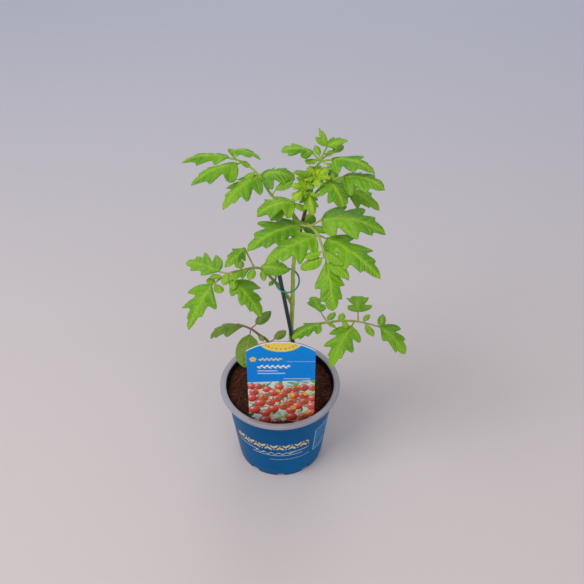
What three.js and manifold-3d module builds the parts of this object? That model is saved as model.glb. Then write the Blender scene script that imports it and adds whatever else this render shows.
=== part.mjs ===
// A young cherry tomato plant in a round nursery pot: lobed compound leaves on one stem, which a
// small ring holds to a thin cane, with a printed plant label pushed in at the front.
// Millimetres, +Z up. The origin is the centre of the pot's underside and -Y is the front.

import * as THREE from 'three';
import { mergeVertices } from 'three/addons/utils/BufferGeometryUtils.js';
import Module from 'manifold-3d';

const wasm = await Module();
wasm.setup();

// ---------------------------------------------------------------- driving dimensions, in mm

const GAP = 0.3; // what touching pieces keep between them

const POT = {
  height: 95,
  rimRadius: 60,
  rimDepth: 4.4,
  mouthRadius: 54,
  wallTopRadius: 54.4,
  baseRadius: 43.6,
  wall: 1.2,
  floor: 1.5,
  sides: 40,
};
const FOOT_ARCH = { count: 10, width: 9, height: 4.5, depth: 5, hole: 2.5 };

const SOIL = {
  level: 84, wallLevel: 81, rise: 5, riseFrom: -42, riseTo: -18, mound: 3, moundX: -12, moundY: 34, moundSpread: 17,
};

const STEM = {
  path: [[9.2, 0, 56], [9.5, 0, 83], [11, 0, 154], [12.5, 0, 203], [13.8, 0, 250], [20.6, 0, 289], [28.4, 0, 326]],
  baseRadius: 2.6,
  topRadius: 1.4,
};

const CANE = { radius: 1.9, foot: [33.4, -8.6, 22], top: [-1.9, -4.3, 254] };

const RING = { radius: 10.7, wire: 0.75, centre: [7.8, -2.3, 228], tilt: 54 };

const LABEL = {
  width: 62.6,
  top: 189.5,
  archRise: 11,
  squareTo: 95,
  thickness: 0.7,
  x: 2,
  frontY: -41.8,
  neckWidth: 54,
  neckLevel: 86,
  spikeWidth: 15,
  spikeLevel: 70,
  tipWidth: 4,
  tipLevel: 32,
};

const BLADE = {
  thickness: 0.62,
  baseReach: 1.1, // half width where the blade leaves its stalk
  notch: 0.58, // what is left of the width between two lobes
  shoulder: 0.86, // width just before a lobe's point
  veinStart: 30, // forward lean of the side veins, degrees, at the base and at the tip
  veinEnd: 50,
  lobedRib: [0, 0.18, 0.36, 0.56, 0.78, 1], // where the rib bends
  ovalRib: [0, 0.45, 1],
};
const LEAFLET_STALK = { radius: 0.8, tipRadius: 0.6, sides: 4 };
const LEAF_STALK_SIDES = 6;

const COLOURS = {
  potPlastic: 0x14548a,
  peat: 0x3a1c12,
  stem: 0x9fae4a,
  cane: 0x0c3a33,
  ring: 0x2f9a78,
  label: 0x0a78c4,
  leaf: 0x67a527,
  oldLeaf: 0x72913a,
  youngLeaf: 0xa4c81c,
};

// ---------------------------------------------------------------- leaves
//
// A leaf is a stalk, its points given from the stem outwards, and the leaflets on it. "at" counts
// along the stalk's points, so 2.5 is half way from point 2 to point 3. "heading" is 0 to the
// right, 90 away from the front, and "dip" is how far it points down, both in degrees. "roll"
// lifts the blade's left side. "stem" is the leaflet's own stalk and "length" its blade. Each
// lobe is [place along the rib, length of its vein], on the left or right seen from the base.
// A leaflet with a width and no lobes is a plain oval.

const LEAVES = {
  leaf_low_left: {
    colour: COLOURS.oldLeaf,
    radii: [1.7, 0.9],
    stalk: [[10, 0, 112], [-10, 0, 149], [-19, 0, 159], [-27, 0, 167], [-39, -2, 175]],
    leaflets: [
      {
        at: 4, heading: -172, dip: 24, roll: 0, length: 29, arch: 0.2, fold: 0.3,
        left: [[0.25, 8], [0.6, 7]], right: [[0.3, 8], [0.6, 6]],
      },
      { at: 3, heading: 53, dip: 0, roll: 10, stem: 9, length: 22, width: 11 },
      { at: 1, heading: 45, dip: 0, roll: 15, stem: 8, length: 15, width: 9 },
      {
        at: 3, heading: -102, dip: 44, stem: 7, length: 31, arch: 0.12,
        left: [[0.3, 12], [0.62, 9]], right: [[0.1, 12], [0.5, 10]],
      },
      { at: 2, heading: -60, dip: 20, length: 8, width: 5 },
    ],
  },

  leaf_low_right: {
    colour: COLOURS.leaf,
    radii: [1.5, 0.8],
    stalk: [[11, 0, 160], [24, -1, 171], [40, -2, 176], [57, -2, 179], [74, -2, 178], [95, -4, 173]],
    leaflets: [
      {
        at: 2, heading: -147, dip: 5, stem: 2, length: 32, arch: 0.08,
        left: [[0.1, 10], [0.4, 10], [0.66, 8]], right: [[0.16, 12], [0.46, 10]],
      },
      {
        at: 2.3, heading: 111, dip: 0, stem: 16, length: 23, arch: 0.1,
        left: [[0.4, 10]], right: [[0.1, 9], [0.5, 9]],
      },
      {
        at: 4, heading: 88, dip: 0, stem: 14, length: 22, arch: 0.1,
        left: [[0.1, 11], [0.46, 14]], right: [[0.08, 16], [0.5, 14]],
      },
      {
        at: 3.8, heading: -122, dip: 30, stem: 6, length: 44, arch: 0.12,
        left: [[0.04, 16], [0.3, 16], [0.6, 9]], right: [[0.08, 19], [0.36, 19], [0.66, 9]],
      },
      {
        at: 5, heading: -44, dip: 25, roll: 8, length: 34, arch: 0.1,
        left: [[0.06, 19], [0.44, 13]], right: [[0.16, 10], [0.6, 10]],
      },
      { at: 5, heading: 78, dip: 0, stem: 2, length: 16, width: 8 },
      { at: 2.2, heading: 60, dip: 8, stem: 6, length: 14, width: 7 },
      { at: 2.3, heading: -30, dip: 20, length: 10, width: 5 },
      { at: 3, heading: 72, dip: 0, length: 11, width: 7 },
      { at: 3.2, heading: -70, dip: 20, length: 9, width: 6 },
      { at: 4.2, heading: 56, dip: 0, stem: 3, length: 10, width: 6 },
      { at: 4.3, heading: -60, dip: 20, stem: 3, length: 13, width: 8 },
    ],
  },

  leaf_mid_left: {
    colour: COLOURS.leaf,
    radii: [1.6, 0.7],
    stalk: [
      [12, 0, 199], [3.5, 1, 214.5], [-4.5, 0.5, 226], [-14, -6, 243.5], [-21, -9, 248], [-32, -10, 246],
      [-44, -11, 243], [-59, -14, 232],
    ],
    leaflets: [
      {
        at: 7, heading: -126, dip: 40, length: 44, arch: 0.08,
        left: [[0.16, 17], [0.5, 9]], right: [[0.04, 23], [0.36, 22], [0.66, 9]],
      },
      {
        at: 6, heading: 153, dip: 5, roll: -8, stem: 9, length: 35, arch: 0.08,
        left: [[0.2, 11], [0.54, 10]], right: [[0.08, 22], [0.34, 25], [0.6, 13]],
      },
      {
        at: 6, heading: -43, dip: 35, stem: 9, length: 39, arch: 0.08,
        left: [[0.1, 23], [0.42, 15]], right: [[0.06, 12], [0.34, 12], [0.62, 8]],
      },
      {
        at: 4, base: [-29, 0, 262], heading: -132, dip: 14, roll: -24, length: 26, arch: 0.16,
        left: [[0.12, 10], [0.5, 8]], right: [[0.14, 9], [0.5, 7]],
      },
      {
        at: 4.2, heading: -160, dip: 20, roll: 0, stem: 3, length: 20, arch: 0.1,
        left: [[0.2, 8], [0.55, 7]], right: [[0.3, 7], [0.6, 6]],
      },
      { at: 3, base: [-14, -11, 251], heading: -14, dip: 0, roll: 34, length: 25, width: 14 },
      { at: 7, heading: 100, dip: 4, stem: 2, length: 10, width: 8 },
      { at: 6.8, heading: -60, dip: 12, stem: 2, length: 11, width: 9 },
      { at: 6.3, heading: 172, dip: 8, stem: 2, length: 10, width: 8 },
      { at: 6, heading: -108, dip: 25, stem: 1, length: 11, width: 8 },
      { at: 5.7, heading: -84, dip: 34, stem: 4, length: 13, width: 8 },
      { at: 5, heading: 106, dip: 0, stem: 3, length: 12, width: 9 },
      { at: 4, heading: -110, dip: 22, stem: 2, length: 11, width: 8 },
      { at: 3, heading: -80, dip: 32, stem: 1, length: 10, width: 6 },
      { at: 2, heading: -125, dip: 20, length: 7, width: 5 },
    ],
  },

  leaf_mid_front: {
    colour: COLOURS.leaf,
    radii: [1.5, 0.8],
    stalk: [[20, 0, 285], [24, -10, 295], [29, -27, 303], [33, -38, 304], [36, -47, 300], [38.5, -55, 295]],
    leaflets: [
      {
        at: 5, heading: -80, dip: 44, stem: 4, length: 39, arch: 0.12,
        left: [[0.06, 8], [0.34, 18], [0.6, 13]], right: [[0.06, 8], [0.34, 17], [0.6, 13]],
      },
      {
        at: 1.6, base: [16.9, -20, 301.5], heading: -152, dip: 13, roll: -14, length: 48, arch: 0.14,
        left: [[0.04, 15], [0.3, 17], [0.56, 11]], right: [[0.02, 26], [0.26, 25], [0.58, 12]],
      },
      {
        at: 1.6, base: [36.4, -22, 308.4], heading: -7, dip: 12, roll: 12, length: 53.5, arch: 0.16,
        left: [[0.02, 26], [0.34, 25], [0.6, 14]], right: [[0.06, 16], [0.34, 20], [0.62, 12]],
      },
      {
        at: 2.9, base: [30.5, -36, 301.3], heading: -150, dip: 13, roll: -10, length: 48, arch: 0.1,
        left: [[0.02, 17], [0.28, 19], [0.58, 10]], right: [[0.04, 20], [0.36, 15]],
      },
      {
        at: 2.9, base: [40.7, -36, 299.1], heading: -40, dip: 15, roll: 8, length: 55, arch: 0.1,
        left: [[0.02, 22], [0.36, 22], [0.62, 12]], right: [[0.08, 16], [0.34, 19], [0.6, 11]],
      },
      { at: 4.4, heading: -160, dip: 13, stem: 3, length: 13, width: 10 },
      { at: 4.9, heading: -150, dip: 13, stem: 4, length: 19, width: 13 },
      { at: 4.4, heading: -42, dip: 14, stem: 3, length: 18, width: 11 },
      { at: 4.9, heading: -50, dip: 15, stem: 6, length: 23, width: 12 },
      { at: 1.5, heading: -20, dip: 10, stem: 2, length: 15, width: 10 },
      { at: 0.2, heading: 53, dip: -20, stem: 1, length: 12, width: 11 },
      { at: 0.2, heading: -10, dip: -12, stem: 1, length: 11, width: 9 },
    ],
  },

  leaf_high_left: {
    colour: COLOURS.leaf,
    radii: [1.4, 0.7],
    stalk: [[20, 0, 286], [9, -1, 305], [-5, 5, 314], [-16, 15, 328], [-30, 25, 334], [-42, 30, 335]],
    leaflets: [
      {
        at: 5, heading: 176, dip: 10, length: 40, arch: 0.12,
        left: [[0.12, 10], [0.42, 13]], right: [[0.08, 12], [0.34, 12], [0.6, 8]],
      },
      {
        at: 4, heading: -157, dip: 15, stem: 5, length: 42, arch: 0.12,
        left: [[0.08, 18], [0.44, 15]], right: [[0.08, 12], [0.36, 12], [0.62, 8]],
      },
      {
        at: 4.4, base: [-36, 32, 340], heading: -10, dip: 10, roll: -12, length: 23, arch: 0.2,
        left: [[0.1, 9], [0.5, 9]], right: [[0.12, 12], [0.5, 11]],
      },
      {
        at: 3, heading: -137, dip: 24, stem: 2, length: 41, arch: 0.12,
        left: [[0.04, 18], [0.34, 17], [0.62, 9]], right: [[0.04, 17], [0.32, 17], [0.6, 9]],
      },
      {
        at: 3, heading: -6, dip: 10, roll: 16, stem: 3, length: 29, arch: 0.2, fold: 0.2,
        left: [[0.04, 15], [0.4, 12]], right: [[0.08, 18], [0.46, 16]],
      },
      { at: 3.2, heading: -140, dip: 20, stem: 2, length: 9, width: 8 },
      { at: 2.4, heading: -24, dip: 20, stem: 3, length: 15, width: 11 },
      { at: 3.5, heading: 150, dip: -20, length: 9, width: 7 },
    ],
  },

  leaf_young_front: {
    colour: COLOURS.leaf,
    radii: [1.1, 0.8],
    stalk: [[17.6, -2, 272], [15, -8, 291], [13, -12, 303], [13.5, -13, 318]],
    leaflets: [
      {
        at: 3, heading: -164, dip: 14, roll: -8, length: 32, arch: 0.2,
        left: [[0.06, 14], [0.44, 14]], right: [[0.04, 17], [0.36, 15]],
      },
      {
        at: 3, heading: -164, dip: 33, roll: -8, length: 24, arch: 0.1,
        left: [[0.14, 10], [0.5, 9]], right: [[0.1, 8], [0.5, 7]],
      },
      { at: 3, heading: -20, dip: 20, stem: 1, length: 11, width: 9 },
      { at: 1.8, heading: -30, dip: 15, stem: 1, length: 12, width: 9 },
    ],
  },

  leaf_high_right: {
    colour: COLOURS.leaf,
    radii: [1.2, 0.7],
    stalk: [[25, 0, 311], [38, -5, 331], [46, -8, 338], [54, -8, 340]],
    leaflets: [
      {
        at: 3, heading: -16, dip: 12, roll: 8, length: 34, arch: 0.16,
        left: [[0.06, 17], [0.4, 14]], right: [[0.02, 18], [0.36, 15]],
      },
      {
        at: 1, base: [41, -8, 335.6], heading: -58, dip: 32, length: 25, arch: 0.2,
        left: [[0.06, 14], [0.4, 14]], right: [[0.06, 14], [0.4, 14]],
      },
      { at: 2, heading: 96, dip: -10, stem: 1, length: 11, width: 9 },
    ],
  },

  leaf_high_back: {
    colour: COLOURS.leaf,
    radii: [1.1, 0.7],
    stalk: [[24.3, 0, 308], [38, 7, 316], [53, 14, 316]],
    leaflets: [
      {
        at: 2, heading: -26, dip: 20, roll: 8, length: 38, arch: 0.12,
        left: [[0.06, 14], [0.42, 13]], right: [[0.06, 14], [0.34, 15], [0.62, 9]],
      },
      { at: 2, heading: -80, dip: 40, stem: 2, length: 16, width: 9 },
      { at: 1.4, heading: 60, dip: 8, stem: 4, length: 24, width: 13 },
    ],
  },

  leaf_top: {
    colour: COLOURS.leaf,
    radii: [1.2, 0.7],
    stalk: [[28.6, 0.1, 326.35], [32, 0, 344], [35, 0, 350], [37, 2, 355], [40, 4, 361]],
    leaflets: [
      {
        at: 4, heading: 6, dip: -12, roll: 25, length: 17, arch: 0.12,
        left: [[0.1, 9], [0.45, 6]], right: [[0.2, 6]],
      },
      { at: 4, heading: 122, dip: -38, stem: 1, length: 15, width: 6 },
      { at: 4, heading: 158, dip: -28, stem: 1, length: 11, width: 8 },
      {
        at: 2, base: [28, 5, 355], heading: 178, dip: 0, length: 25, arch: 0.14,
        left: [[0.1, 10], [0.45, 12]], right: [[0.02, 11], [0.34, 13]],
      },
      {
        at: 2, base: [44.4, 0, 351.3], heading: -20, dip: 10, roll: 5, length: 36, arch: 0.16,
        left: [[0.02, 13], [0.34, 16], [0.62, 8]], right: [[0.04, 14], [0.36, 13]],
      },
      { at: 3, base: [46.4, 5, 355], heading: 60, dip: -10, length: 11, width: 9 },
      { at: 2, base: [32, 2, 349.7], heading: -163, dip: 5, length: 10, width: 9 },
      { at: 2.2, heading: 112, dip: -25, stem: 5, length: 9, width: 6 },
      { at: 2.2, heading: 36, dip: -20, stem: 5, length: 7, width: 6 },
      { at: 2, heading: -27, dip: 12, stem: 6, length: 9, width: 8 },
    ],
  },

  growing_tip: {
    colour: COLOURS.youngLeaf,
    radii: [1.4, 1],
    stalk: [[27.6, -0.4, 322], [26, -5, 328], [26.6, -7.4, 334]],
    leaflets: [
      { at: 2, heading: 164, dip: -5, stem: 2, length: 16, width: 11 },
      { at: 2, heading: 146, dip: -26, length: 12, width: 9 },
      { at: 2, heading: 14, dip: -18, length: 14, width: 10 },
      { at: 2, heading: -62, dip: -14, length: 12, width: 10 },
      { at: 1, heading: 172, dip: -22, length: 13, width: 9 },
      { at: 1, heading: -150, dip: 20, length: 12, width: 8 },
      { at: 0.6, heading: -76, dip: 48, stem: 1, length: 17, width: 13 },
      { at: 0.6, heading: -132, dip: 52, stem: 1, length: 12, width: 7 },
      { at: 2, base: [27, -5, 341.5], heading: -164, dip: -9, length: 15, width: 10 },
    ],
  },
};

// ---------------------------------------------------------------- solids from vertices

/** A closed solid from a list of corner positions and a list of triangles. */
function solidFrom(corners, triangles) {
  const mesh = new wasm.Mesh({
    numProp: 3,
    vertProperties: new Float32Array(corners.flat()),
    triVerts: new Uint32Array(triangles.flat()),
  });
  return new wasm.Manifold(mesh);
}

/** A solid from a closed three.js geometry, with its doubled vertices merged. */
function solidFromGeometry(geometry) {
  const bare = geometry.clone();
  bare.deleteAttribute('normal');
  bare.deleteAttribute('uv');
  const merged = mergeVertices(bare, 1e-3);
  const mesh = new wasm.Mesh({
    numProp: 3,
    vertProperties: new Float32Array(merged.attributes.position.array),
    triVerts: new Uint32Array(merged.index.array),
  });
  return new wasm.Manifold(mesh);
}

/** A three.js geometry from a solid. */
function geometryFrom(solid) {
  const { vertProperties, triVerts } = solid.getMesh();
  const geometry = new THREE.BufferGeometry();
  geometry.setAttribute('position', new THREE.BufferAttribute(vertProperties, 3));
  geometry.setIndex(new THREE.BufferAttribute(triVerts, 1));
  geometry.computeVertexNormals();
  return geometry;
}

// ---------------------------------------------------------------- stalks

/** The smooth curve through a stalk's points. */
function stalkCurve(path) {
  const points = path.map((point) => new THREE.Vector3(...point));
  return new THREE.CatmullRomCurve3(points, false, 'catmullrom', 0.5);
}

/** The point of a stalk at a count along its points, such as 2.5. */
function pointOnStalk(path, at) {
  return stalkCurve(path).getPoint(at / (path.length - 1));
}

/** A round tapering stalk along a curve, closed at both ends. */
function stalkSolid(path, startRadius, endRadius, sides, stepsPerPoint) {
  const curve = stalkCurve(path);
  const steps = (path.length - 1) * stepsPerPoint;
  const chord = curve.getPoint(1).sub(curve.getPoint(0)).normalize();
  const reference = Math.abs(chord.z) > 0.8 ? new THREE.Vector3(0, 1, 0) : new THREE.Vector3(0, 0, 1);
  const corners = [];
  for (let step = 0; step <= steps; step++) {
    const centre = curve.getPoint(step / steps);
    const along = curve.getTangent(step / steps);
    const across = reference.clone().cross(along).normalize();
    const up = along.clone().cross(across);
    const radius = THREE.MathUtils.lerp(startRadius, endRadius, step / steps);
    for (let side = 0; side < sides; side++) {
      const angle = (2 * Math.PI * side) / sides;
      const corner = centre.clone()
        .addScaledVector(across, radius * Math.cos(angle))
        .addScaledVector(up, radius * Math.sin(angle));
      corners.push(corner.toArray());
    }
  }
  const triangles = [];
  for (let step = 0; step < steps; step++) {
    for (let side = 0; side < sides; side++) {
      const a = step * sides + side;
      const b = step * sides + ((side + 1) % sides);
      triangles.push([a, b, b + sides], [a, b + sides, a + sides]);
    }
  }
  const last = steps * sides;
  for (let side = 1; side < sides - 1; side++) {
    triangles.push([0, side + 1, side], [last, last + side, last + side + 1]);
  }
  return solidFrom(corners, triangles);
}

// ---------------------------------------------------------------- leaf blades

/** The edge of one side of a blade: [place along the rib, reach along a side vein] at each corner. */
function edgeCorners(lobes) {
  const corners = [[0, BLADE.baseReach]];
  lobes.forEach(([place, reach], index) => {
    const [lastPlace, lastReach] = corners.at(-1);
    corners.push([lastPlace + 0.5 * (place - lastPlace), Math.max(BLADE.shoulder * reach, lastReach)]);
    corners.push([place, reach]);
    const next = lobes[index + 1];
    if (next) {
      const notch = BLADE.notch * Math.min(reach, 1.5 * next[1]);
      corners.push([place + 0.3 * (next[0] - place), notch]);
    }
  });
  const [lastPlace, lastReach] = corners.at(-1);
  corners.push([lastPlace + 0.2 * (1 - lastPlace), 0.72 * lastReach]);
  corners.push([lastPlace + 0.56 * (1 - lastPlace), 0.52 * lastReach]);
  return corners;
}

/** The edge of a plain oval blade. */
function ovalCorners(width) {
  const reach = width / 2 / Math.cos(THREE.MathUtils.degToRad(BLADE.veinStart));
  return [[0, BLADE.baseReach], [0.1, 0.9 * reach], [0.4, reach], [0.7, 0.55 * reach]];
}

/** The along, left and normal directions of a leaflet. */
function leafletAxes({ heading, dip, roll = 0 }) {
  const [turn, fall, lean] = [heading, dip, roll].map(THREE.MathUtils.degToRad);
  const along = new THREE.Vector3(
    Math.cos(turn) * Math.cos(fall), Math.sin(turn) * Math.cos(fall), -Math.sin(fall),
  );
  const left = new THREE.Vector3(-Math.sin(turn), Math.cos(turn), 0).applyAxisAngle(along, lean);
  const normal = along.clone().cross(left);
  return { along, left, normal };
}

/** A lobed or oval blade, folded along its rib and alike on both faces. */
function bladeSolid(base, leaflet) {
  const { length, width, arch = 0.08, fold = 0.12 } = leaflet;
  const { along, left, normal } = leafletAxes(leaflet);
  const flat = [];
  const top = [];
  const addCorner = (place, reach, side) => {
    const lean = THREE.MathUtils.degToRad(THREE.MathUtils.lerp(BLADE.veinStart, BLADE.veinEnd, place));
    const forward = place * length + reach * Math.sin(lean);
    const sideways = side * reach * Math.cos(lean);
    flat.push(new THREE.Vector2(forward, sideways));
    top.push(base.clone()
      .addScaledVector(along, forward)
      .addScaledVector(left, sideways)
      .addScaledVector(normal, 4 * arch * length * place * (1 - place) - fold * reach));
    return top.length - 1;
  };
  const leftCorners = width ? ovalCorners(width) : edgeCorners(leaflet.left);
  const rightCorners = width ? ovalCorners(width) : edgeCorners(leaflet.right);
  const rib = (width ? BLADE.ovalRib : BLADE.lobedRib).map((place) => addCorner(place, 0, 0));
  const leftEdge = leftCorners.map(([place, reach]) => addCorner(place, reach, 1)).reverse();
  const rightEdge = rightCorners.map(([place, reach]) => addCorner(place, reach, -1));

  const halves = [[...rib, ...leftEdge], [...rib.toReversed(), ...rightEdge]];
  const upper = halves.flatMap((half) => {
    const contour = half.map((corner) => flat[corner]);
    return THREE.ShapeUtils.triangulateShape(contour, []).map((face) => face.map((at) => half[at]));
  });
  const under = top.length;
  const triangles = [...upper, ...upper.map(([a, b, c]) => [a + under, c + under, b + under])];
  const outline = [rib[0], ...rightEdge, rib.at(-1), ...leftEdge];
  outline.forEach((start, index) => {
    const next = outline[(index + 1) % outline.length];
    triangles.push([next, start, start + under], [next, start + under, next + under]);
  });
  const drop = normal.clone().multiplyScalar(-BLADE.thickness);
  const corners = [...top, ...top.map((point) => point.clone().add(drop))];
  return solidFrom(corners.map((point) => point.toArray()), triangles);
}

/** A leaflet: its own short stalk, run on under the blade, and the blade. */
function leafletSolid(path, leaflet) {
  const { at, stem = 0, length } = leaflet;
  const root = pointOnStalk(path, at);
  const { along, normal } = leafletAxes(leaflet);
  const base = leaflet.base
    ? new THREE.Vector3(...leaflet.base)
    : root.clone().addScaledVector(along, stem);
  const blade = bladeSolid(base, leaflet);
  if (base.distanceTo(root) < 0.5) return blade;
  const stalkEnd = base.clone()
    .addScaledVector(along, 0.08 * length)
    .addScaledVector(normal, 0.25 * (leaflet.arch ?? 0.08) * length);
  const points = leaflet.base ? [root, base, stalkEnd] : [root, stalkEnd];
  const { radius, tipRadius, sides } = LEAFLET_STALK;
  return stalkSolid(points.map((point) => point.toArray()), radius, tipRadius, sides, 1).add(blade);
}

/** A whole compound leaf, with its foot cut clear of the stem. */
function leafSolid({ stalk, radii, leaflets }) {
  const rachis = stalkSolid(stalk, radii[0], radii[1], LEAF_STALK_SIDES, 2);
  const whole = leaflets.reduce((sum, leaflet) => sum.add(leafletSolid(stalk, leaflet)), rachis);
  return whole.subtract(stemSolid(GAP));
}

// ---------------------------------------------------------------- stem, cane, ring and label

/** The main stem, or the room that it needs when grown by a clearance. */
function stemSolid(clearance = 0) {
  const [[x, y, z], ...rest] = STEM.path;
  const path = [[x, y, z - clearance], ...rest];
  return stalkSolid(path, STEM.baseRadius + clearance, STEM.topRadius + clearance, 8, 2);
}

/** The straight cane, or the hole that it needs. */
function caneSolid(clearance = 0) {
  const radius = CANE.radius + clearance;
  const [x, y, z] = CANE.foot;
  return stalkSolid([[x, y, z - 1.2 * clearance], CANE.top], radius, radius, 12, 1);
}

/** The label's outline: an arched top, square sides and a neck that runs down to a spike. */
function labelShape(clearance = 0) {
  const half = LABEL.width / 2 + clearance;
  const spring = LABEL.top - LABEL.archRise;
  const archRadius = (half ** 2 + LABEL.archRise ** 2) / (2 * LABEL.archRise);
  const archAngle = Math.asin(half / archRadius);
  const shape = new THREE.Shape();
  shape.moveTo(half, spring);
  shape.absarc(0, LABEL.top - archRadius, archRadius, Math.PI / 2 - archAngle, Math.PI / 2 + archAngle);
  const steps = [
    [LABEL.width, LABEL.squareTo],
    [LABEL.neckWidth, LABEL.neckLevel],
    [LABEL.spikeWidth, LABEL.spikeLevel],
    [LABEL.tipWidth, LABEL.tipLevel - clearance],
  ];
  steps.forEach(([width, level]) => shape.lineTo(-width / 2 - clearance, level));
  steps.reverse().forEach(([width, level]) => shape.lineTo(width / 2 + clearance, level));
  shape.closePath();
  return shape;
}

/** The label upright at the front of the pot, or the slot that it needs. */
function labelGeometry(clearance = 0) {
  const depth = LABEL.thickness + 2 * clearance;
  const geometry = new THREE.ExtrudeGeometry(labelShape(clearance), {
    depth, bevelEnabled: false, curveSegments: 10,
  });
  geometry.rotateX(Math.PI / 2);
  geometry.translate(LABEL.x, LABEL.frontY + LABEL.thickness + clearance, 0);
  return geometry;
}

// ---------------------------------------------------------------- pot and soil

/** Radius of the pot wall's inner face at a height. */
function innerRadius(z) {
  const outer = THREE.MathUtils.lerp(POT.baseRadius, POT.wallTopRadius, z / (POT.height - POT.rimDepth));
  return outer - POT.wall;
}

/** A closed ring or disc turned about the pot's axis from [radius, height] points. */
function turned(profile, sides) {
  const points = profile.map(([radius, z]) => new THREE.Vector2(radius, z));
  const geometry = new THREE.LatheGeometry(points, sides);
  geometry.rotateX(Math.PI / 2);
  return solidFromGeometry(geometry);
}

/** Sets a solid lying along +Y at an angle about the pot's axis. */
function turnedTo(geometry, angle) {
  geometry.rotateZ(angle);
  return solidFromGeometry(geometry);
}

/** A plain block through the pot's foot, from one radius outwards. */
function footBlock(angle, startRadius, endRadius, width, bottom, top) {
  const geometry = new THREE.BoxGeometry(width, endRadius - startRadius, top - bottom);
  geometry.translate(0, (startRadius + endRadius) / 2, (bottom + top) / 2);
  return turnedTo(geometry, angle);
}

/** An arched tunnel through the pot's foot, from one radius outwards. */
function footArch(angle, startRadius, endRadius, width, height) {
  const shape = new THREE.Shape();
  const half = width / 2;
  shape.moveTo(-half, -1);
  shape.lineTo(half, -1);
  shape.lineTo(half, height - half / 2);
  shape.quadraticCurveTo(half, height, 0, height);
  shape.quadraticCurveTo(-half, height, -half, height - half / 2);
  shape.closePath();
  const geometry = new THREE.ExtrudeGeometry(shape, {
    depth: endRadius - startRadius, bevelEnabled: false, curveSegments: 3,
  });
  geometry.rotateX(Math.PI / 2);
  geometry.translate(0, endRadius, 0);
  return turnedTo(geometry, angle);
}

/** The pot: a thin tapered shell with a flanged rim and drained arches round its foot. */
function potSolid() {
  const rimBase = POT.height - POT.rimDepth;
  const shell = turned([
    [0, 0], [POT.baseRadius - 0.8, 0], [POT.baseRadius, 0.8], [POT.wallTopRadius, rimBase],
    [POT.rimRadius - 0.8, rimBase + 0.3], [POT.rimRadius, rimBase + 1.3],
    [POT.rimRadius, POT.height - 1.2], [POT.rimRadius - 1.4, POT.height],
    [POT.mouthRadius + 1, POT.height - 0.5], [POT.mouthRadius, POT.height - 1.4],
    [innerRadius(rimBase), rimBase - 1], [innerRadius(POT.floor), POT.floor], [0, POT.floor],
  ], POT.sides);
  const { count, width, height, depth, hole } = FOOT_ARCH;
  const inner = POT.baseRadius - depth;
  const liningTop = height + POT.wall;
  const within = turned([
    [0, 0.4], [POT.baseRadius - 0.4, 0.4], [innerRadius(height) + 0.4, liningTop], [0, liningTop],
  ], POT.sides);
  const angles = Array.from({ length: count }, (_, index) => (2 * Math.PI * index) / count);
  const linings = angles
    .map((angle) => footBlock(angle, inner - POT.wall, POT.baseRadius + 2, width + 2 * POT.wall, -1, 9))
    .reduce((sum, lining) => sum.add(lining));
  const cuts = angles
    .flatMap((angle) => [
      footArch(angle, inner, POT.baseRadius + 3, width, height),
      footBlock(angle, inner - POT.wall - 1, inner + 1, hole, POT.floor + 0.4, POT.floor + hole),
    ])
    .reduce((sum, cut) => sum.add(cut));
  return shell.add(linings.intersect(within)).subtract(cuts);
}

/** Height of the loose soil surface: low at the label, with a mound at the back and small crumbs. */
function soilHeight(x, y) {
  const radius = Math.hypot(x, y);
  const edge = THREE.MathUtils.smoothstep(radius, 38, innerRadius(SOIL.wallLevel));
  const away = ((x - SOIL.moundX) ** 2 + (y - SOIL.moundY) ** 2) / SOIL.moundSpread ** 2;
  const crumbs = 0.9 * Math.sin(x / 5.3 + 1) * Math.cos(y / 6.1) + 0.5 * Math.sin(x / 2.9 - y / 3.7);
  const level = THREE.MathUtils.lerp(SOIL.level, SOIL.wallLevel, edge);
  const rise = SOIL.rise * THREE.MathUtils.smoothstep(y, SOIL.riseFrom, SOIL.riseTo);
  return level + rise + SOIL.mound * Math.exp(-away) + crumbs;
}

/** The peat that fills the pot, with holes for the stem, the cane and the label. */
function soilSolid() {
  const bottom = POT.floor + GAP;
  const ledge = FOOT_ARCH.height + POT.wall + 1.2;
  const ledgeRadius = POT.baseRadius - FOOT_ARCH.depth - POT.wall - 1.5;
  const surfaceRings = [1, 0.93, 0.8, 0.64, 0.48, 0.32, 0.16];
  const outer = innerRadius(SOIL.wallLevel) - GAP - 0.15;
  const profile = [
    [0, bottom], [ledgeRadius, bottom], [ledgeRadius, ledge], [innerRadius(ledge) - GAP - 0.15, ledge],
    ...surfaceRings.map((share) => [outer * share, SOIL.level]), [0, SOIL.level],
  ];
  const geometry = new THREE.LatheGeometry(
    profile.map(([radius, z]) => new THREE.Vector2(radius, z)), POT.sides,
  );
  geometry.rotateX(Math.PI / 2);
  const place = geometry.attributes.position;
  for (let index = 0; index < place.count; index++) {
    if (place.getZ(index) > SOIL.level - 1) {
      const [x, y] = [place.getX(index), place.getY(index)];
      const z = soilHeight(x, y);
      const atWall = Math.hypot(x, y) > 0.99 * outer ? (innerRadius(z) - GAP - 0.15) / outer : 1;
      place.setXYZ(index, x * atWall, y * atWall, z);
    }
  }
  return solidFromGeometry(geometry)
    .subtract(stemSolid(GAP))
    .subtract(caneSolid(GAP))
    .subtract(solidFromGeometry(labelGeometry(GAP)));
}

// ---------------------------------------------------------------- the plant

const plant = new THREE.Group();

/** Adds a named piece with its own material. */
function addPiece(name, geometry, color, roughness) {
  const material = new THREE.MeshStandardMaterial({ color, roughness, metalness: 0 });
  const piece = new THREE.Mesh(geometry, material);
  piece.name = name;
  plant.add(piece);
  return piece;
}

addPiece('pot', geometryFrom(potSolid()), COLOURS.potPlastic, 0.4);
addPiece('soil', geometryFrom(soilSolid()), COLOURS.peat, 0.95);
addPiece('plant_label', labelGeometry(), COLOURS.label, 0.35);
addPiece('cane', geometryFrom(caneSolid()), COLOURS.cane, 0.45);

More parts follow.
